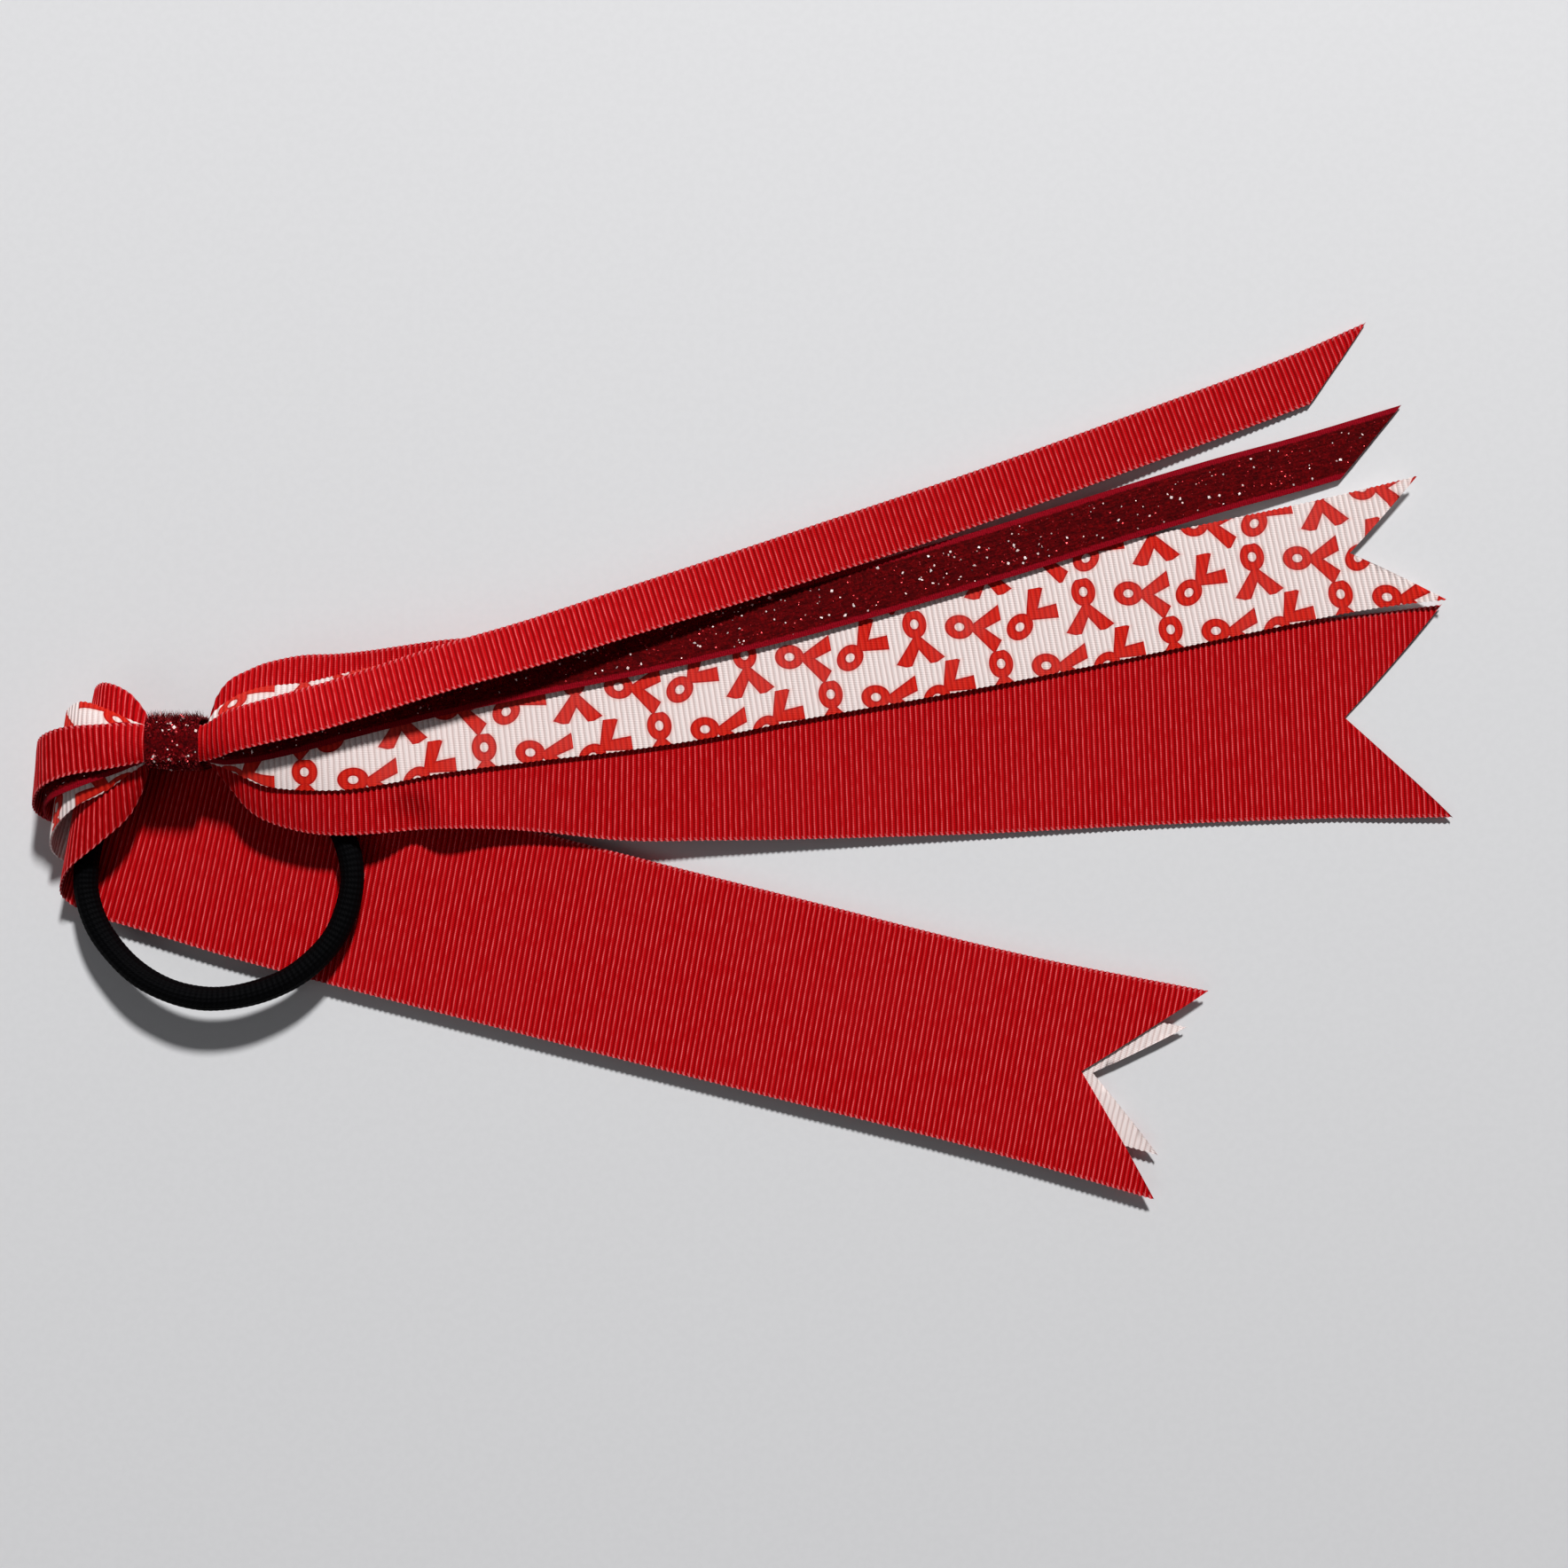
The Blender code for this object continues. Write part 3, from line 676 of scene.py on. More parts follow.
def new_group(name, inputs, outputs):
    """A node group with named sockets; returns its net, its inputs and a function that sets an output."""
    tree = bpy.data.node_groups.new(name, "ShaderNodeTree")
    for kind, label, default in inputs:
        socket = tree.interface.new_socket(name=label, in_out="INPUT", socket_type="NodeSocket" + kind)
        if default is not None:
            socket.default_value = default
    for kind, label in outputs:
        tree.interface.new_socket(name=label, in_out="OUTPUT", socket_type="NodeSocket" + kind)
    net = Net(tree)
    start = net.node("NodeGroupInput").outputs
    end = net.node("NodeGroupOutput")

    def give(label, value):
        net.put(end.inputs[label], value)

    return net, start, give


def build_ribs():
    """Ribbed weave: the cords that cross the ribbon, the warp threads over them and the looped edge. It gives a
    painted highlight, a thin bright line along the crests of the ribs, and painted shade for the gaps between them.
    """
    net, start, give = new_group(
        "Ribbed weave",
        (
            ("Float", "Along", 0.0),
            ("Float", "Across", 0.0),
            ("Float", "Pitch", 0.00106),
            ("Float", "Half Width", 0.019),
            ("Float", "Warp Pitch", 0.00034),
        ),
        (("Float", "Crest Highlight"), ("Float", "Valley Shade"), ("Float", "Edge"), ("Float", "Height")),
    )
    spot = net.joined(start["Along"], start["Across"])
    wander = net.times(net.less(net.noise(spot, 420.0, 1.0), 0.5), 0.9)
    turn = net.times(net.over(start["Along"], start["Pitch"]), 2 * math.pi)
    wave = net.math("COSINE", net.add(turn, wander))
    glint = net.math("COSINE", net.add(net.add(turn, wander), 0.55))
    warp = net.times(net.over(start["Across"], start["Warp Pitch"]), 2 * math.pi)
    slant = net.add(warp, net.times(turn, 0.5))
    dash = net.scaled(net.math("SINE", slant), 0.5, 0.5)
    lively = net.noise(net.joined(start["Along"], net.times(start["Across"], 0.35)), 900.0, 3.0, 0.6)
    # Painted highlight: a thin bright line along the crests of the ribs, broken by the warp threads and by noise.
    crest_highlight = net.times(net.band(glint, 0.72, 1.0), net.scaled(dash, 0.45, 0.55))
    crest_highlight = net.times(crest_highlight, net.band(lively, 0.34, 0.66, 0.22, 1.0))
    give("Crest Highlight", crest_highlight)
    # Painted shade for the gaps between the ribs.
    give("Valley Shade", net.band(wave, -0.35, -0.97))
    inset = net.less(start["Half Width"], net.math("ABSOLUTE", start["Across"]))
    rim = net.band(inset, 0.00075, 0.0002)
    loops = net.band(net.math("COSINE", net.add(turn, net.times(inset, 3600.0))), 0.0, 0.9)
    give("Edge", net.times(rim, loops))
    give("Height", net.scaled(dash, 0.35, net.times(wave, 0.5)))


def build_wear():
    """Handling: broad, faint unevenness of dye and fine lint, as one colour."""
    net, start, give = new_group(
        "Cloth handling",
        (
            ("Vector", "Position", None),
            ("Color", "Colour", (0.5, 0.5, 0.5, 1)),
            ("Color", "Faded", (0.6, 0.5, 0.5, 1)),
            ("Float", "Amount", 0.2),
        ),
        (("Color", "Colour"), ("Float", "Roughness Shift")),
    )
    broad = net.noise(start["Position"], 55.0, 3.0, 0.55)
    fine = net.noise(start["Position"], 2600.0, 2.0, 0.6)
    faded = net.times(net.band(broad, 0.38, 0.72), start["Amount"])
    made = net.mix(faded, start["Colour"], start["Faded"])
    lint = net.times(net.band(fine, 0.66, 0.80), net.times(start["Amount"], 0.8))
    give("Colour", net.mix(lint, made, start["Faded"]))
    give("Roughness Shift", net.times(net.less(broad, 0.5), 0.12))


def build_pile():
    """Glitter pile: short dark pile with metal specks, a random few of them painted bright as glints."""
    net, start, give = new_group(
        "Glitter pile",
        (
            ("Vector", "Position", None),
            ("Color", "Pile", (0.03, 0.001, 0.003, 1)),
            ("Color", "Tinsel", (0.2, 0.005, 0.01, 1)),
            ("Color", "Spark", (0.9, 0.6, 0.6, 1)),
            ("Float", "Amount", 0.1),
        ),
        (("Color", "Colour"), ("Float", "Metal"), ("Float", "Roughness"), ("Float", "Height")),
    )
    cells = net.cells(start["Position"], 2600.0)
    shades = net.node("ShaderNodeSeparateColor")
    net.put(shades.inputs[0], cells.outputs["Color"])
    inside = net.band(cells.outputs["Distance"], 0.42, 0.30)
    limit = net.less(1.0, start["Amount"])
    # Painted glints: a random few specks take the spark colour.
    glinting = net.times(net.math("GREATER_THAN", shades.outputs[0], limit), inside)
    tinsel = net.times(net.band(shades.outputs[1], 0.2, 1.0), 0.7)
    tufts = net.noise(start["Position"], 1500.0, 3.0, 0.65)
    base = net.mix(tinsel, start["Pile"], start["Tinsel"])
    base = net.mix(net.band(tufts, 0.60, 0.34, 0.0, 0.45), base, (0.008, 0.0004, 0.0008, 1))
    give("Colour", net.mix(glinting, base, start["Spark"]))
    give("Metal", net.times(glinting, 0.8))
    give("Roughness", net.scaled(glinting, -0.4, 0.75))
    give("Height", net.add(tufts, net.times(shades.outputs[2], 0.5)))


def build_symbols():
    """Printed crossed loops in offset rows, each turned a different way: ink, darker rim and pale halo."""
    net, start, give = new_group(
        "Loop symbols",
        (("Float", "Along", 0.0), ("Float", "Across", 0.0), ("Float", "Shift", 0.0)),
        (("Float", "Ink"), ("Float", "Rim"), ("Float", "Halo")),
    )
    # in millimetres: spacing, offset of each second row in spacings, turns of the second and third loop
    wide, tall, first_row, row_offset = 11.0, 10.4, 4.8, -1.36
    second_turn, third_turn = math.radians(76), math.radians(49)
    scale, hole_rise, hole_half, hole_tall, ring_half = 0.97, 2.6, 1.5, 1.8, 0.76
    tail_run, tail_rise, cross_at, tail_half, tail_flare = 0.804, 0.595, 0.35, 0.86, 0.10
    foot_out, foot_slant, foot_fall, tail_top = 3.1, 0.45, 4.9, 1.2
    u = net.scaled(start["Along"], 1000.0, start["Shift"])
    v = net.scaled(start["Across"], 1000.0, first_row)
    row = net.over(v, tall)
    level = net.math("FLOOR", row)
    y = net.times(net.less(net.less(row, level), 0.5), tall)
    offset = net.times(net.math("FLOORED_MODULO", level, 2.0), row_offset)
    column = net.add(net.over(u, wide), offset)
    cell = net.math("FLOOR", column)
    x = net.times(net.less(net.less(column, cell), 0.5), wide)
    kind = net.math("FLOORED_MODULO", cell, 3.0)
    turned = net.math("GREATER_THAN", kind, 0.5)
    further = net.math("GREATER_THAN", kind, 1.5)
    angle = net.scaled(further, third_turn, net.times(turned, second_turn))
    c = net.math("COSINE", angle)
    s = net.math("SINE", angle)
    p = net.add(net.times(x, c), net.times(y, s))
    q = net.less(net.times(y, c), net.times(x, s))
    p = net.math("ABSOLUTE", net.times(p, scale))
    q = net.times(q, scale)
    # loop: an oval ring
    px = net.over(p, hole_half)
    py = net.over(net.less(q, hole_rise), hole_tall)
    reach = net.math("SQRT", net.add(net.times(px, px), net.times(py, py)))
    ring = net.less(net.times(net.math("ABSOLUTE", net.less(reach, 1.0)), 1.6), ring_half)
    # tails: two straight strokes that cross below the loop and widen to their feet
    down = net.times(q, -1.0)
    along = net.add(net.times(p, tail_run), net.times(net.add(q, cross_at), tail_rise))
    flare = net.scaled(net.math("MAXIMUM", down, 0.0), tail_flare, tail_half)
    stroke = net.less(net.math("ABSOLUTE", along), flare)
    foot = net.less(net.add(down, net.times(net.less(p, foot_out), foot_slant)), foot_fall)
    stroke = net.math("MAXIMUM", stroke, foot)
    stroke = net.math("MAXIMUM", stroke, net.less(q, tail_top))
    gap = net.math("MINIMUM", ring, stroke)
    give("Ink", net.band(gap, 0.12, -0.02))
    give("Rim", net.times(net.band(gap, -0.38, -0.10), net.band(gap, 0.12, -0.02)))
    give("Halo", net.band(gap, 0.75, 0.15))


def build_braid():
    """Braid: two sets of fine strands that cross round a cord."""
    net, start, give = new_group(
        "Braid",
        (("Float", "Along", 0.0), ("Float", "Round", 0.0)),
        (("Float", "Strand"), ("Float", "Height")),
    )
    run = net.times(start["Along"], 2 * math.pi / (BRAID_PITCH * MM))
    turn = net.times(start["Round"], 2 * math.pi * BRAID_STRANDS)
    one = net.math("SINE", net.add(run, turn))
    two = net.math("SINE", net.less(run, turn))
    cross = net.times(one, two)
    fine = net.math("SINE", net.times(net.add(run, turn), 3.0))
    give("Strand", net.scaled(cross, 0.5, 0.5))
    give("Height", net.scaled(fine, 0.25, cross))


def build_groups():
    for build in (build_ribs, build_wear, build_pile, build_symbols, build_braid):
        build()


def new_material(name, roughness, specular):
    made = bpy.data.materials.new(name)
    made.use_nodes = True
    shader = made.node_tree.nodes["Principled BSDF"]
    shader.inputs["Roughness"].default_value = roughness
    shader.inputs["Specular IOR Level"].default_value = specular
    return made, shader, Net(made.node_tree)


def bumped(net, shader, height, distance):
    bump = net.node("ShaderNodeBump")
    bump.inputs["Distance"].default_value = distance
    bump.inputs["Strength"].default_value = 1.0
    net.put(bump.inputs["Height"], height)
    net.put(shader.inputs["Normal"], bump.outputs[0])


def handled(finish, colour, faded, amount, height, depth, rough=None):
    """Lays handling over a finish's colour, sets its bump, and lets its roughness vary unless that is given."""
    made, shader, net = finish
    worn = net.group("Cloth handling", Position=net.place(), Colour=colour, Faded=faded, Amount=amount)
    if rough is None:
        rough = net.add(worn["Roughness Shift"], shader.inputs["Roughness"].default_value)
    net.put(shader.inputs["Base Color"], worn["Colour"])
    net.put(shader.inputs["Roughness"], rough)
    bumped(net, shader, height, depth)
    return made


def ribbed_finish(name, half, pitch, specular):
    """A new ribbed cloth with its coordinates and weave."""
    finish = new_material(name, 0.55, specular)
    net = finish[2]
    cloth = net.cloth()
    return finish, cloth, net.group("Ribbed weave", Along=cloth[0], Across=cloth[1], Pitch=pitch, Half_Width=half * MM)


def grosgrain(name, half, pitch, valley_shade, body, crest_highlight, edge, faded, shade):
    """Dyed ribbed ribbon: a mid body, painted shade in the gaps between ribs and a painted highlight, fine bright
    lines along the crests.
    """
    finish, _, weave = ribbed_finish(name, half, pitch, 0.03)
    net = finish[2]
    valley_shade, body, crest_highlight, edge = [rgba(min(1.0, c * shade) for c in tone) for tone in (valley_shade, body, crest_highlight, edge)]
    # The gaps get the painted shade colour, the crests the painted highlight colour.
    colour = net.mix(weave["Valley Shade"], body, valley_shade)
    colour = net.mix(weave["Crest Highlight"], colour, crest_highlight)
    colour = net.mix(weave["Edge"], colour, edge)
    return handled(finish, colour, faded, 0.10, weave["Height"], RIB_BUMP)


def printed_grosgrain(name, half, pitch, colours, printed, shift=0.0):
    """White ribbed ribbon, with or without its print. The white is tinted pink as painted bounce light from the red
    ribbons; the gaps between ribs carry painted shade and the crests a painted highlight, on the ink too.
    """
    finish, cloth, weave = ribbed_finish(name, half, pitch, 0.12)
    net = finish[2]
    # Painted shade in the gaps between ribs, on a white tinted pink by painted red bounce light.
    colour = net.mix(net.times(weave["Valley Shade"], 0.85), rgba(colours.white), rgba(colours.white_gap_shade))
    # Painted highlight along the crests of the ribs.
    colour = net.mix(net.times(weave["Crest Highlight"], 0.6), colour, (0.97, 0.95, 0.94, 1))
    if printed:
        print_on = net.group("Loop symbols", Along=cloth[0], Across=cloth[1], Shift=shift)
        deep = rgba(colours.ink_rim)
        colour = net.mix(net.times(print_on["Halo"], 0.30), colour, (0.9, 0.42, 0.36, 1))
        inked = net.mix(print_on["Rim"], rgba(colours.ink), deep)
        # Painted shade in the gaps and painted highlight on the crests, over the ink.
        inked = net.mix(net.times(weave["Valley Shade"], 0.6), inked, deep)
        inked = net.mix(net.times(weave["Crest Highlight"], 0.16), inked, (0.95, 0.10, 0.06, 1))
        colour = net.mix(print_on["Ink"], colour, inked)
    return handled(finish, colour, (0.8, 0.6, 0.56, 1), 0.05, weave["Height"], RIB_BUMP)


def sealed_end(name, colour, dark):
    """A cut end melted shut: beads of hard, glossy thread."""
    made, shader, net = new_material(name, 0.35, 0.35)
    beads = net.noise(net.place(), 2400.0)
    net.put(shader.inputs["Base Color"], net.mix(net.band(beads, 0.35, 0.65), dark, colour))
    bumped(net, shader, beads, 0.0001)
    return made


def glitter_velvet(name, pile, tinsel, spark, edge, amount, half=None):
    """Dark pile with metal specks, a few painted bright as glints, and, on a ribbon, plain satin edges."""
    finish = new_material(name, 0.75, 0.04)
    shader, net = finish[1:]
    place = net.place()
    pile_on = net.group("Glitter pile", Position=place, Pile=pile, Tinsel=tinsel, Spark=spark, Amount=amount)
    colour = pile_on["Colour"]
    metal = pile_on["Metal"]
    rough = pile_on["Roughness"]
    if half:
        cloth = net.cloth()
        inset = net.less(half * MM, net.math("ABSOLUTE", cloth[1]))
        fray = net.scaled(net.noise(place, 1900.0), 0.0007, -0.00035)
        plain = net.band(net.add(inset, fray), 0.00120, 0.00085)
        weave = net.math("COSINE", net.times(cloth[0], 2 * math.pi / 0.00042))
        satin = net.mix(net.scaled(weave, 0.25, 0.25), edge, (0.10, 0.0005, 0.003, 1))
        lay = net.noise(net.joined(net.times(cloth[0], 0.16), cloth[1]), 2600.0, 2.0)
        colour = net.mix(net.band(lay, 0.40, 0.66, 0.0, 0.55), colour, (0.018, 0.0002, 0.0006, 1))
        colour = net.mix(plain, colour, satin)
        metal = net.times(metal, net.less(1.0, plain))
        rough = net.math("MAXIMUM", rough, net.times(plain, 0.5))
    net.put(shader.inputs["Metallic"], metal)
    return handled(finish, colour, tinsel, 0.08, pile_on["Height"], 0.00022, rough)


def tinsel_metal(name, colour, other, roughness, metallic=0.85):
    """Metallised film of flecks and fibres; with metallic 0.0 it is a plain colour, as for the painted glints."""
    made, shader, net = new_material(name, roughness, 0.5)
    tone = net.noise(net.place(), 1700.0, 1.0)
    net.put(shader.inputs["Base Color"], net.mix(net.band(tone, 0.35, 0.65), colour, other))
    shader.inputs["Metallic"].default_value = metallic
    return made


def plain_finish(name, colour, other, roughness, specular, scale, depth):
    """A matt or waxy finish with fine grain."""
    finish = new_material(name, roughness, specular)
    net = finish[2]
    grain = net.noise(net.place(), scale, 3.0, 0.6)
    return handled(finish, net.mix(net.band(grain, 0.35, 0.65), colour, other), other, 0.12, grain, depth)


def braid_finish(name, colour, light):
    """Matt braid with lighter strands."""
    finish = new_material(name, 0.72, 0.05)
    net = finish[2]
    cloth = net.cloth()
    braid = net.group("Braid", Along=cloth[0], Round=net.times(cloth[1], 1 / MM))
    colour = net.mix(net.band(braid["Strand"], 0.3, 0.8), colour, light)
    return handled(finish, colour, light, 0.15, braid["Height"], 0.00006)


def thread_finish(name, colour, other):
    """Twisted cotton thread."""
    finish = new_material(name, 0.6, 0.2)
    net = finish[2]
    lay = net.split(net.place())
    twist = net.math("SINE", net.times(net.add(net.add(lay[0], lay[1]), lay[2]), 9000.0))
    return handled(finish, net.mix(net.scaled(twist, 0.5, 0.5), colour, other), other, 0.15, twist, 0.00005, 0.6)


# ---------------------------------------------------------------- settings


def length_of(name, description, default):
    return bpy.props.FloatProperty(
        name=name, description=description, default=default, min=0.0, precision=5, unit="LENGTH"
    )


def count_of(name, description, default):
    return bpy.props.IntProperty(name=name, description=description, default=default, min=0)


def colour_of(name, description, default):
    return bpy.props.FloatVectorProperty(
        name=name, description=description, default=default, min=0.0, max=1.0, size=3, subtype="COLOR"
    )


class BowSizes(bpy.types.PropertyGroup):
    """Sizes of the bow's weave and trimmings."""

    cloth_thick: length_of("Cloth thickness", "Mean thickness of every ribbon", 0.00045)
    rib_depth: length_of("Rib depth", "How far a rib stands out from the middle of its face", 0.00008)
    wide_pitch: length_of("Wide rib pitch", "Distance between ribs on the wide and the printed ribbon", 0.00106)
    narrow_pitch: length_of("Narrow rib pitch", "Distance between ribs on the narrow ribbon", 0.00114)
    back_skew: length_of("Back rib skew", "How far the wide back streamer's ribs lean at its edges", 0.0013)
    print_shift: length_of("Print shift", "Where the print starts along the front streamer", 0.0295)
    ribbon_flecks: count_of("Ribbon flecks", "Metal flecks on each half of the glitter ribbon", 1000)
    wrap_flecks: count_of("Wrap flecks", "Metal flecks on the centre wrap", 700)
    wrap_fibres: count_of("Wrap fibres", "Tinsel fibres standing in the wrap's pile", 1500)


class BowColours(bpy.types.PropertyGroup):
    """Colours of the bow's cloth and metal."""

    red: colour_of("Red", "Body of the red ribbed ribbon", (0.53, 0.0015, 0.004))
    # Painted shade: the gaps between the red ribs.
    red_gap_shade: colour_of("Red gap", "Gaps between the red ribs", (0.25, 0.0002, 0.0008))
    # Painted highlight: the bright lines along the red ribs' crests.
    red_crest_highlight: colour_of("Red crest", "Painted highlight along the red ribs", (1.0, 0.17, 0.18))
    red_edge: colour_of("Red edge", "Thread loops along the red ribbon's edges", (0.78, 0.16, 0.17))
    red_faded: colour_of("Red faded", "Handled and linty red cloth", (0.58, 0.012, 0.016))
    # Partly painted light: the pink in this white is painted red bounce light.
    white: colour_of("White", "Body of the printed ribbon", (1.0, 0.85, 0.82))
    # Painted shade: the gaps between the white ribs.
    white_gap_shade: colour_of("White gap", "Gaps between the printed ribbon's ribs", (0.70, 0.54, 0.51))
    ink: colour_of("Print", "Ink of the printed loops", (0.72, 0.016, 0.006))
    ink_rim: colour_of("Print rim", "Darker rim of the printed loops", (0.50, 0.004, 0.002))
    pile: colour_of("Pile", "Deep pile of the glitter ribbon", (0.105, 0.001, 0.002))
    tinsel: colour_of("Tinsel", "Red tinsel in the ribbon's pile", (0.22, 0.0016, 0.003))
    wrap_pile: colour_of("Wrap pile", "Deep pile of the centre wrap", (0.060, 0.0006, 0.0014))
    wrap_tinsel: colour_of("Wrap tinsel", "Red tinsel in the wrap's pile", (0.24, 0.0014, 0.004))
    # Painted glints: the specks and flecks that stand for light caught on the glitter.
    spark: colour_of("Spark", "Specks that catch the light", (1.0, 0.70, 0.66))
    bound_edge: colour_of("Bound edge", "Plain edges of the glitter ribbon", (0.34, 0.003, 0.012))
    black: colour_of("Black", "Braid of the hair tie", (0.0005, 0.0005, 0.0008))
    floor: colour_of("Floor", "The pale table", (0.785, 0.785, 0.797))


def rgba(value):
    return (*value, 1.0)


def red_ribbon(name, label, shade=1.0):
    c = bpy.context.scene.bow_colours
    s = bpy.context.scene.bow_sizes
    pitch = s.narrow_pitch if name == "narrow" else s.wide_pitch
    return grosgrain(label, HALF[name], pitch, c.red_gap_shade, c.red, c.red_crest_highlight, c.red_edge, rgba(c.red_faded), shade)


# ---------------------------------------------------------------- baked transforms and scatter


def bend_front(obj):
    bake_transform(obj)


def bend_back(obj):
    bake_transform(obj)


def scatter(strip, name, count, seed, inner, facing, lift):
    """Random places and outward directions on a ribbon's pile."""
    rng = np.random.default_rng(seed)
    u = rng.uniform(WRAP_LONG / 2 - 0.5, strip.length - 1.0, count)
    v = rng.uniform(-inner, inner, count)
    kept = u < cut_at(name, strip, v) - 0.8
    u = u[kept]
    v = v[kept]
    normal = strip.facing(u, v) * facing
    return strip.at(u, v) + normal * lift, normal


# ---------------------------------------------------------------- pieces


class WideRibbon(bpy.types.Operator):
    """Make both halves of the wide red ribbed ribbon"""

    bl_idname = "hair_bow.wide_ribbon"
    bl_label = "Wide ribbon"

    def execute(self, context):
        s = context.scene.bow_sizes
        face = red_ribbon("wide", "Red grosgrain wide")
        back = red_ribbon("wide", "Red grosgrain wide reverse", 1.08)
        end = sealed_end("Sealed red end", (0.25, 0.004, 0.01, 1), (0.07, 0.001, 0.003, 1))
        make_ribbed("wide", s, 18, (face, back, face, end))
        return {"FINISHED"}


class PrintRibbon(bpy.types.Operator):
    """Make both halves of the white ribbon with its printed loops"""

    bl_idname = "hair_bow.print_ribbon"
    bl_label = "Print ribbon"

    def execute(self, context):
        s = context.scene.bow_sizes
        c = context.scene.bow_colours
        half = HALF["print"]
        face = printed_grosgrain("Printed grosgrain", half, s.wide_pitch, c, True, s.print_shift / MM)
        reverse = printed_grosgrain("White grosgrain reverse", half, s.wide_pitch, c, False)
        end = sealed_end("Sealed white end", (0.62, 0.50, 0.47, 1), (0.30, 0.20, 0.18, 1))
        make_ribbed("print", s, 14, (face, reverse, reverse, end))
        return {"FINISHED"}


class GlitterRibbon(bpy.types.Operator):
    """Make both halves of the glitter ribbon with their flecks"""

    bl_idname = "hair_bow.glitter_ribbon"
    bl_label = "Glitter ribbon"

    def execute(self, context):
        s = context.scene.bow_sizes
        c = context.scene.bow_colours
        half = HALF["glitter"]
        edge = rgba(c.bound_edge)
        face = glitter_velvet("Glitter velvet", rgba(c.pile), rgba(c.tinsel), rgba(c.spark), edge, 0.006, half)
        end = sealed_end("Sealed glitter end", (0.2, 0.004, 0.008, 1), (0.05, 0.001, 0.002, 1))
        satin = red_ribbon("narrow", "Glitter ribbon reverse", 0.7)
        bright, deep = metal_pair()
        thick = s.cloth_thick / MM
        for kind, strip, facing in (("front", front_strip("glitter"), 1), ("back", back_strip("glitter"), -1)):
            outer, inner = (face, satin) if facing > 0 else (satin, face)
            label = "glitter_ribbon_" + kind
            obj = plain_cloth(label, "glitter", strip, 8, 0.8, thick, (outer, inner, face, end))
            seed = 31 if facing > 0 else 47
            spots, normals = scatter(strip, "glitter", s.ribbon_flecks, seed, 0.72, facing, thick / 2 + 0.06)
            # share of these flecks are painted glints.
            flecks = flakes(label + "_flecks", spots, normals, (0.09, 0.27), (bright, deep), seed + 1, share=0.17)
            finish_half(obj, "glitter", kind, (flecks,))
        return {"FINISHED"}


class NarrowRibbon(bpy.types.Operator):
    """Make both halves of the narrow red ribbed ribbon"""

    bl_idname = "hair_bow.narrow_ribbon"
    bl_label = "Narrow ribbon"

    def execute(self, context):
        s = context.scene.bow_sizes
        face = red_ribbon("narrow", "Red grosgrain narrow")
        back = red_ribbon("narrow", "Red grosgrain narrow reverse", 0.92)
        end = sealed_end("Sealed narrow end", (0.25, 0.004, 0.01, 1), (0.07, 0.001, 0.003, 1))
        make_ribbed("narrow", s, 8, (face, back, face, end))
        return {"FINISHED"}


def finish_half(obj, name, kind, extras=()):
    """Bakes the transforms of one half of a ribbon and of the pieces that lie on it, and hides the solids they
    replace.
    """
    for piece in (obj, *extras):
        if kind == "front":
            bend_front(piece)
        else:
            bend_back(piece)
    if kind == "front":
        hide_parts(name + "_front_streamer")
    else:
        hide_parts(name + "_loop", name + "_back_streamer")


def make_ribbed(name, sizes, columns, materials):
    """Both halves of a ribbed ribbon. The back half shows the materials turned over."""
    pitch = (sizes.narrow_pitch if name == "narrow" else sizes.wide_pitch) / MM
    outer, inner, edge, end = materials
    back_skew = sizes.back_skew / MM if name == "wide" else 0.0
    for kind, strip, sides, skew in (
        ("front", front_strip(name), (outer, inner), 0.0),
        ("back", back_strip(name), (inner, outer), back_skew),
    ):
        made = (*sides, edge, end)
        depth, thick = sizes.rib_depth / MM, sizes.cloth_thick / MM
        label = f"{name}_ribbon_{kind}"
        finish_half(ribbed_cloth(label, name, strip, columns, pitch, depth, thick, skew, made), name, kind)


def metal_pair():
    """The bright film, matt and pale as painted glints, and the red metallised film, made once."""
    if "Bright fleck" in bpy.data.materials:
        return bpy.data.materials["Bright fleck"], bpy.data.materials["Red fleck"]
    c = bpy.context.scene.bow_colours
    bright = tinsel_metal("Bright fleck", rgba(c.spark), (1.0, 0.88, 0.86, 1), 0.3, 0.0)
    deep = tinsel_metal("Red fleck", (0.62, 0.020, 0.028, 1), (0.24, 0.004, 0.008, 1), 0.3, 0.5)
    return bright, deep


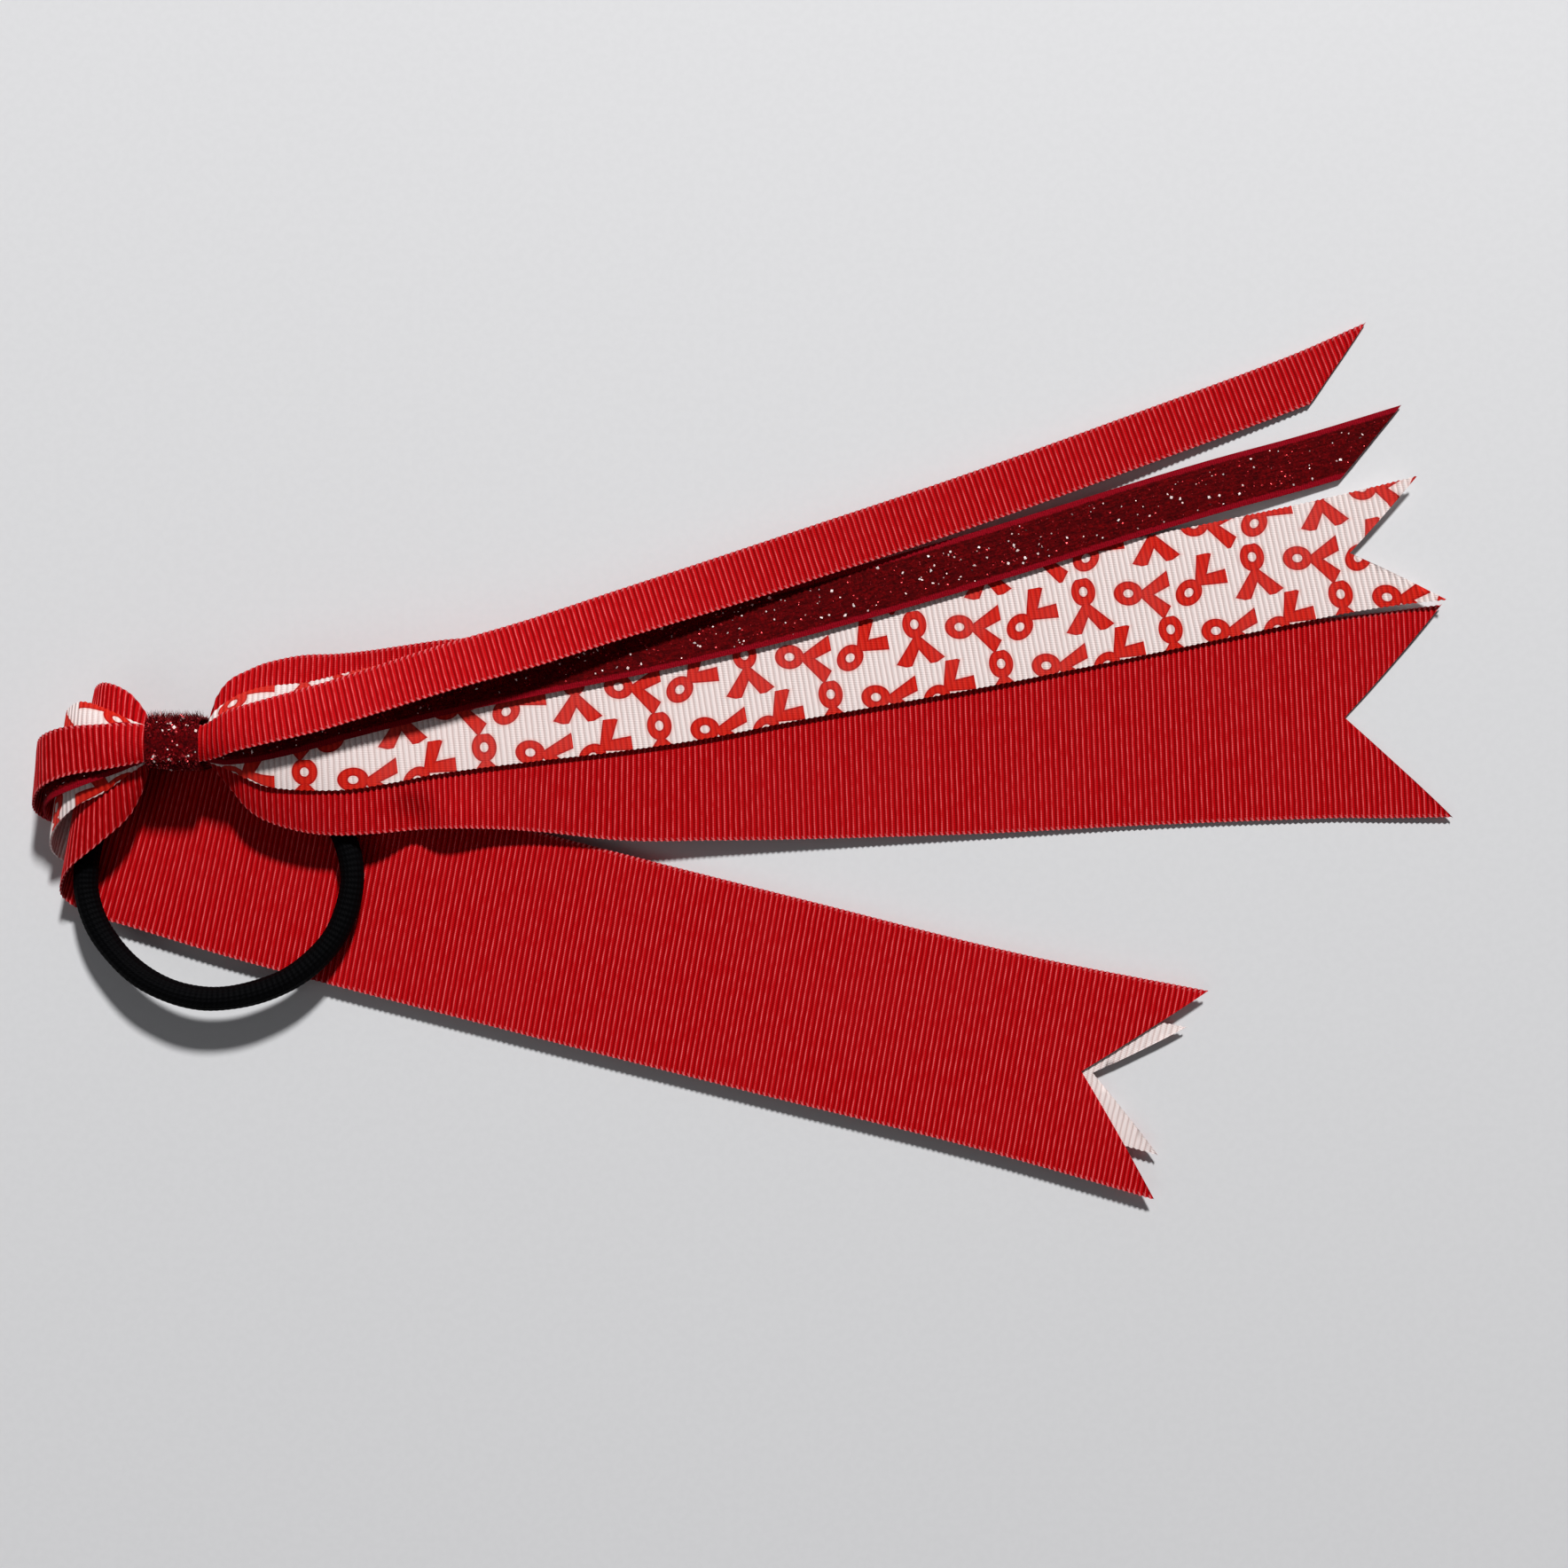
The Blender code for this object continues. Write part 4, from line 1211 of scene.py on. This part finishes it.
class CentreWrap(bpy.types.Operator):
    """Make the glitter band wound round the knot, with its flecks and tinsel fibres"""

    bl_idname = "hair_bow.centre_wrap"
    bl_label = "Centre wrap"

    def execute(self, context):
        s = context.scene.bow_sizes
        c = context.scene.bow_colours
        cloth = glitter_velvet("Wrap velvet", rgba(c.wrap_pile), rgba(c.wrap_tinsel), rgba(c.spark), None, 0.004)
        back = red_ribbon("narrow", "Wrap reverse", 0.6)
        bright, deep = metal_pair()
        turns, columns = 220, 20
        f = np.linspace(0, 1, turns + 1)[:, None]
        w = np.linspace(-1, 1, columns + 1)[None, :]
        crease = 0.10 * np.sin(w * 7 + f * 9) + 0.06 * np.sin(w * 15 - f * 31)
        tuft = 0.05 * np.sin(f * 417 + w * 23) + 0.04 * np.sin(f * 263 - w * 41 + 1.7)
        middle = wrap_points(f, w, WRAP_THICK / 2 + 0.1 * crease)
        outward = wrap_facing(f, w, WRAP_THICK / 2)
        edge = np.abs(w) ** 6
        half = WRAP_THICK / 2 + 0 * f + tuft * (1 - edge) - 0.08 * edge
        girth = float(np.sum(np.linalg.norm(np.diff(middle[:, columns // 2], axis=0), axis=1)))
        cover = np.stack((f * girth + 0 * w, w * WRAP_LONG / 2 + 0 * f), -1)
        obj = shell("centre_wrap_band", middle, outward, half, cover, (cloth, back, cloth, back))
        rng = np.random.default_rng(5)

        def spread(count, low, high, lift):
            ff = rng.uniform(low, high, count)
            ww = rng.uniform(-0.97, 0.97, count)
            return wrap_points(ff, ww, WRAP_THICK + lift), wrap_facing(ff, ww, WRAP_THICK)

        spots, out = spread(s.wrap_flecks, 0.12, 0.98, 0.05)
        # share of these flecks are painted glints.
        flecks = flakes("centre_wrap_flecks", spots, out, (0.11, 0.30), (bright, deep), 8, share=0.12)
        spots, out = spread(s.wrap_fibres, 0.1, 0.99, 0.0)
        tinsel_cloth = tinsel_metal("Tinsel fibre", (0.16, 0.003, 0.008, 1), (0.05, 0.001, 0.002, 1), 0.45)
        upper, out_upper = spread(s.wrap_fibres // 3, 0.26, 0.43, 0.0)
        spots, out = np.concatenate((spots, upper)), np.concatenate((out, out_upper))
        tall = np.concatenate((np.full(s.wrap_fibres, 0.8), np.full(len(upper), 1.7)))
        fuzz = fibres("centre_wrap_tinsel", spots, out, tall, (deep, tinsel_cloth), 9)
        for piece in (obj, flecks, fuzz):
            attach(piece, "knot")
        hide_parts("centre_wrap")
        return {"FINISHED"}


class HairTie(bpy.types.Operator):
    """Make the braided cover of the hair tie"""

    bl_idname = "hair_bow.hair_tie"
    bl_label = "Hair tie"

    def execute(self, context):
        c = context.scene.bow_colours
        count, round_count = 620, 36
        line, long = cord_path(count)
        side, other = frames(line)
        n = np.arange(count)
        turn = np.linspace(0, 2 * math.pi, round_count + 1)[None, :]
        run = (n * long / (count - 1))[:, None]
        phase = run * 2 * math.pi / BRAID_PITCH
        strands = BRAID_STRANDS * turn
        braid = np.sin(phase + strands) * np.sin(phase - strands)
        lumpy = 0.05 * np.sin(run * 0.55 + 2 * np.sin(turn))
        out = side[:, None, :] * np.cos(turn)[..., None] + other[:, None, :] * np.sin(turn)[..., None]
        outer = CORD_RADIUS + 0.05 * braid + lumpy * 0.5 - 0.05
        inner = CORD_RADIUS - SLEEVE_THICK
        middle = line[:, None, :] + out * ((outer + inner) / 2)[..., None]
        half = (outer - inner) / 2
        cover = np.stack((run + 0 * turn, turn / (2 * math.pi) + 0 * run), -1)
        made = braid_finish("Black braid", rgba(c.black), (0.0014, 0.0014, 0.0019, 1))
        obj = shell("hair_tie_braid", middle, out, half, cover, (made, made, made, made), closed=True)
        weld(obj)
        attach(obj, "hair_tie")
        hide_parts("hair_tie_sleeve")
        return {"FINISHED"}


def weld(obj):
    """Joins the two long edges of a tube's sheet."""
    bm = bmesh.new()
    bm.from_mesh(obj.data)
    bmesh.ops.remove_doubles(bm, verts=bm.verts, dist=1e-7)
    bmesh.ops.recalc_face_normals(bm, faces=bm.faces)
    bm.to_mesh(obj.data)
    bm.free()


class Bindings(bpy.types.Operator):
    """Finish the hidden pieces that hold the knot: thread, glue, rubber core and bonded joint"""

    bl_idname = "hair_bow.bindings"
    bl_label = "Bindings"

    def execute(self, context):
        finishes = {"cinch_thread": thread_finish("Cotton thread", (0.34, 0.008, 0.018, 1), (0.14, 0.002, 0.006, 1))}
        for node, name, colour, other, *grain in (
            ("glue_dab", "Hot melt glue", (0.62, 0.56, 0.46), (0.80, 0.76, 0.66), 0.32, 0.5, 300.0, 0.0002),
            ("hair_tie_core", "Latex core", (0.02, 0.02, 0.02), (0.045, 0.042, 0.04), 0.6, 0.3, 900.0, 0.0001),
            ("hair_tie_joint", "Bonded joint", (0.012, 0.012, 0.013), (0.03, 0.03, 0.03), 0.4, 0.4, 1400.0, 0.0002),
        ):
            finishes[node] = plain_finish(name, rgba(colour), rgba(other), *grain)
        for node, made in finishes.items():
            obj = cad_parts[node]
            if not obj.material_slots:
                obj.data.materials.append(made)
            for slot in obj.material_slots:
                slot.material = made
        return {"FINISHED"}


# ---------------------------------------------------------------- studio

# Camera, in millimetres
VIEW_CENTRE = (7.1, -5.8)
VIEW_HEIGHT = 441.0
VIEW_WIDE = 301.0
SENSOR = 36.0

# Table, lights and room, in metres. A light has a place, a target, a diameter and a power in watts.
TABLE_REACH = 1.6
TABLE_TOP = -0.00016
LIGHTS = (
    ("key light", (0.41, 1.59, 1.66), (-0.70, -0.01, 0.0), 0.255, 60.5),
    ("fill light", (-0.45, -0.30, 0.60), (0.0, 0.0, 0.0), 0.5, 0.3),
)
ROOM_COLOUR = (0.93, 0.95, 1.0, 1)
ROOM_STRENGTH = 0.075


def aim(obj, target):
    obj.rotation_euler = (Vector(target) - obj.location).to_track_quat("-Z", "Y").to_euler()


class Studio(bpy.types.Operator):
    """Set out the pale table, the camera above it and the soft light"""

    bl_idname = "hair_bow.studio"
    bl_label = "Studio"

    def execute(self, context):
        scene = context.scene
        c = scene.bow_colours
        x, y = (value * MM for value in VIEW_CENTRE)
        bm = bmesh.new()
        bmesh.ops.create_grid(bm, x_segments=8, y_segments=8, size=TABLE_REACH)
        mesh = bpy.data.meshes.new("table")
        bm.to_mesh(mesh)
        bm.free()
        made, shader, net = new_material("Pale table", 0.6, 0.2)
        grain = net.noise(net.place(), 700.0)
        pale = rgba(c.floor)
        dim = rgba(value * 0.985 for value in c.floor)
        net.put(shader.inputs["Base Color"], net.mix(net.band(grain, 0.35, 0.65), dim, pale))
        table = new_object("table", mesh, (made,))
        table.location.z = TABLE_TOP
        table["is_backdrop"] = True

        camera = bpy.data.objects.new("camera", bpy.data.cameras.new("camera"))
        camera.data.sensor_width = SENSOR
        camera.data.lens = SENSOR * VIEW_HEIGHT / VIEW_WIDE
        camera.data.clip_start = 0.01
        camera.location = (x, y, VIEW_HEIGHT * MM)
        scene.collection.objects.link(camera)
        scene.camera = camera

        for label, place, target, size, power in LIGHTS:
            lamp = bpy.data.objects.new(label, bpy.data.lights.new(label, "AREA"))
            lamp.data.shape = "DISK"
            lamp.data.size = size
            lamp.data.energy = power
            lamp.location = place
            scene.collection.objects.link(lamp)
            aim(lamp, target)

        world = bpy.data.worlds.new("soft room")
        world.use_nodes = True
        room = world.node_tree.nodes["Background"]
        room.inputs["Color"].default_value = ROOM_COLOUR
        room.inputs["Strength"].default_value = ROOM_STRENGTH
        scene.world = world
        scene.view_settings.view_transform = "Standard"
        return {"FINISHED"}


# ---------------------------------------------------------------- add-on


class BowPanel(bpy.types.Panel):
    """Lists the pieces of the hair bow with their settings"""

    bl_idname = "VIEW3D_PT_hair_bow"
    bl_label = "Cheer hair bow"
    bl_space_type = "VIEW_3D"
    bl_region_type = "UI"
    bl_category = "Hair Bow"

    def draw(self, context):
        column = self.layout.column(align=True)
        for operator in PIECES:
            column.operator(operator.bl_idname)
        for group in (context.scene.bow_sizes, context.scene.bow_colours):
            box = self.layout.box().column(align=True)
            for key in group.bl_rna.properties.keys():
                if key not in ("rna_type", "name"):
                    box.prop(group, key)


PIECES = (WideRibbon, PrintRibbon, GlitterRibbon, NarrowRibbon, CentreWrap, HairTie, Bindings, Studio)
CLASSES = (BowSizes, BowColours, *PIECES, BowPanel)


def register():
    for each in CLASSES:
        bpy.utils.register_class(each)
    bpy.types.Scene.bow_sizes = bpy.props.PointerProperty(type=BowSizes)
    bpy.types.Scene.bow_colours = bpy.props.PointerProperty(type=BowColours)


def unregister():
    del bpy.types.Scene.bow_sizes
    del bpy.types.Scene.bow_colours
    for each in reversed(CLASSES):
        bpy.utils.unregister_class(each)


def plain(box):
    return [[float(value) for value in corner] for corner in box]


def main():
    register()
    build_groups()
    bpy.ops.hair_bow.wide_ribbon()
    bpy.ops.hair_bow.print_ribbon()
    bpy.ops.hair_bow.glitter_ribbon()
    bpy.ops.hair_bow.narrow_ribbon()
    bpy.ops.hair_bow.centre_wrap()
    bpy.ops.hair_bow.hair_tie()
    bpy.ops.hair_bow.bindings()
    bpy.ops.hair_bow.studio()
    {"cad": plain(CAD_BOX), "visual": plain(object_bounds())}


if __name__ == "__main__":
    main()
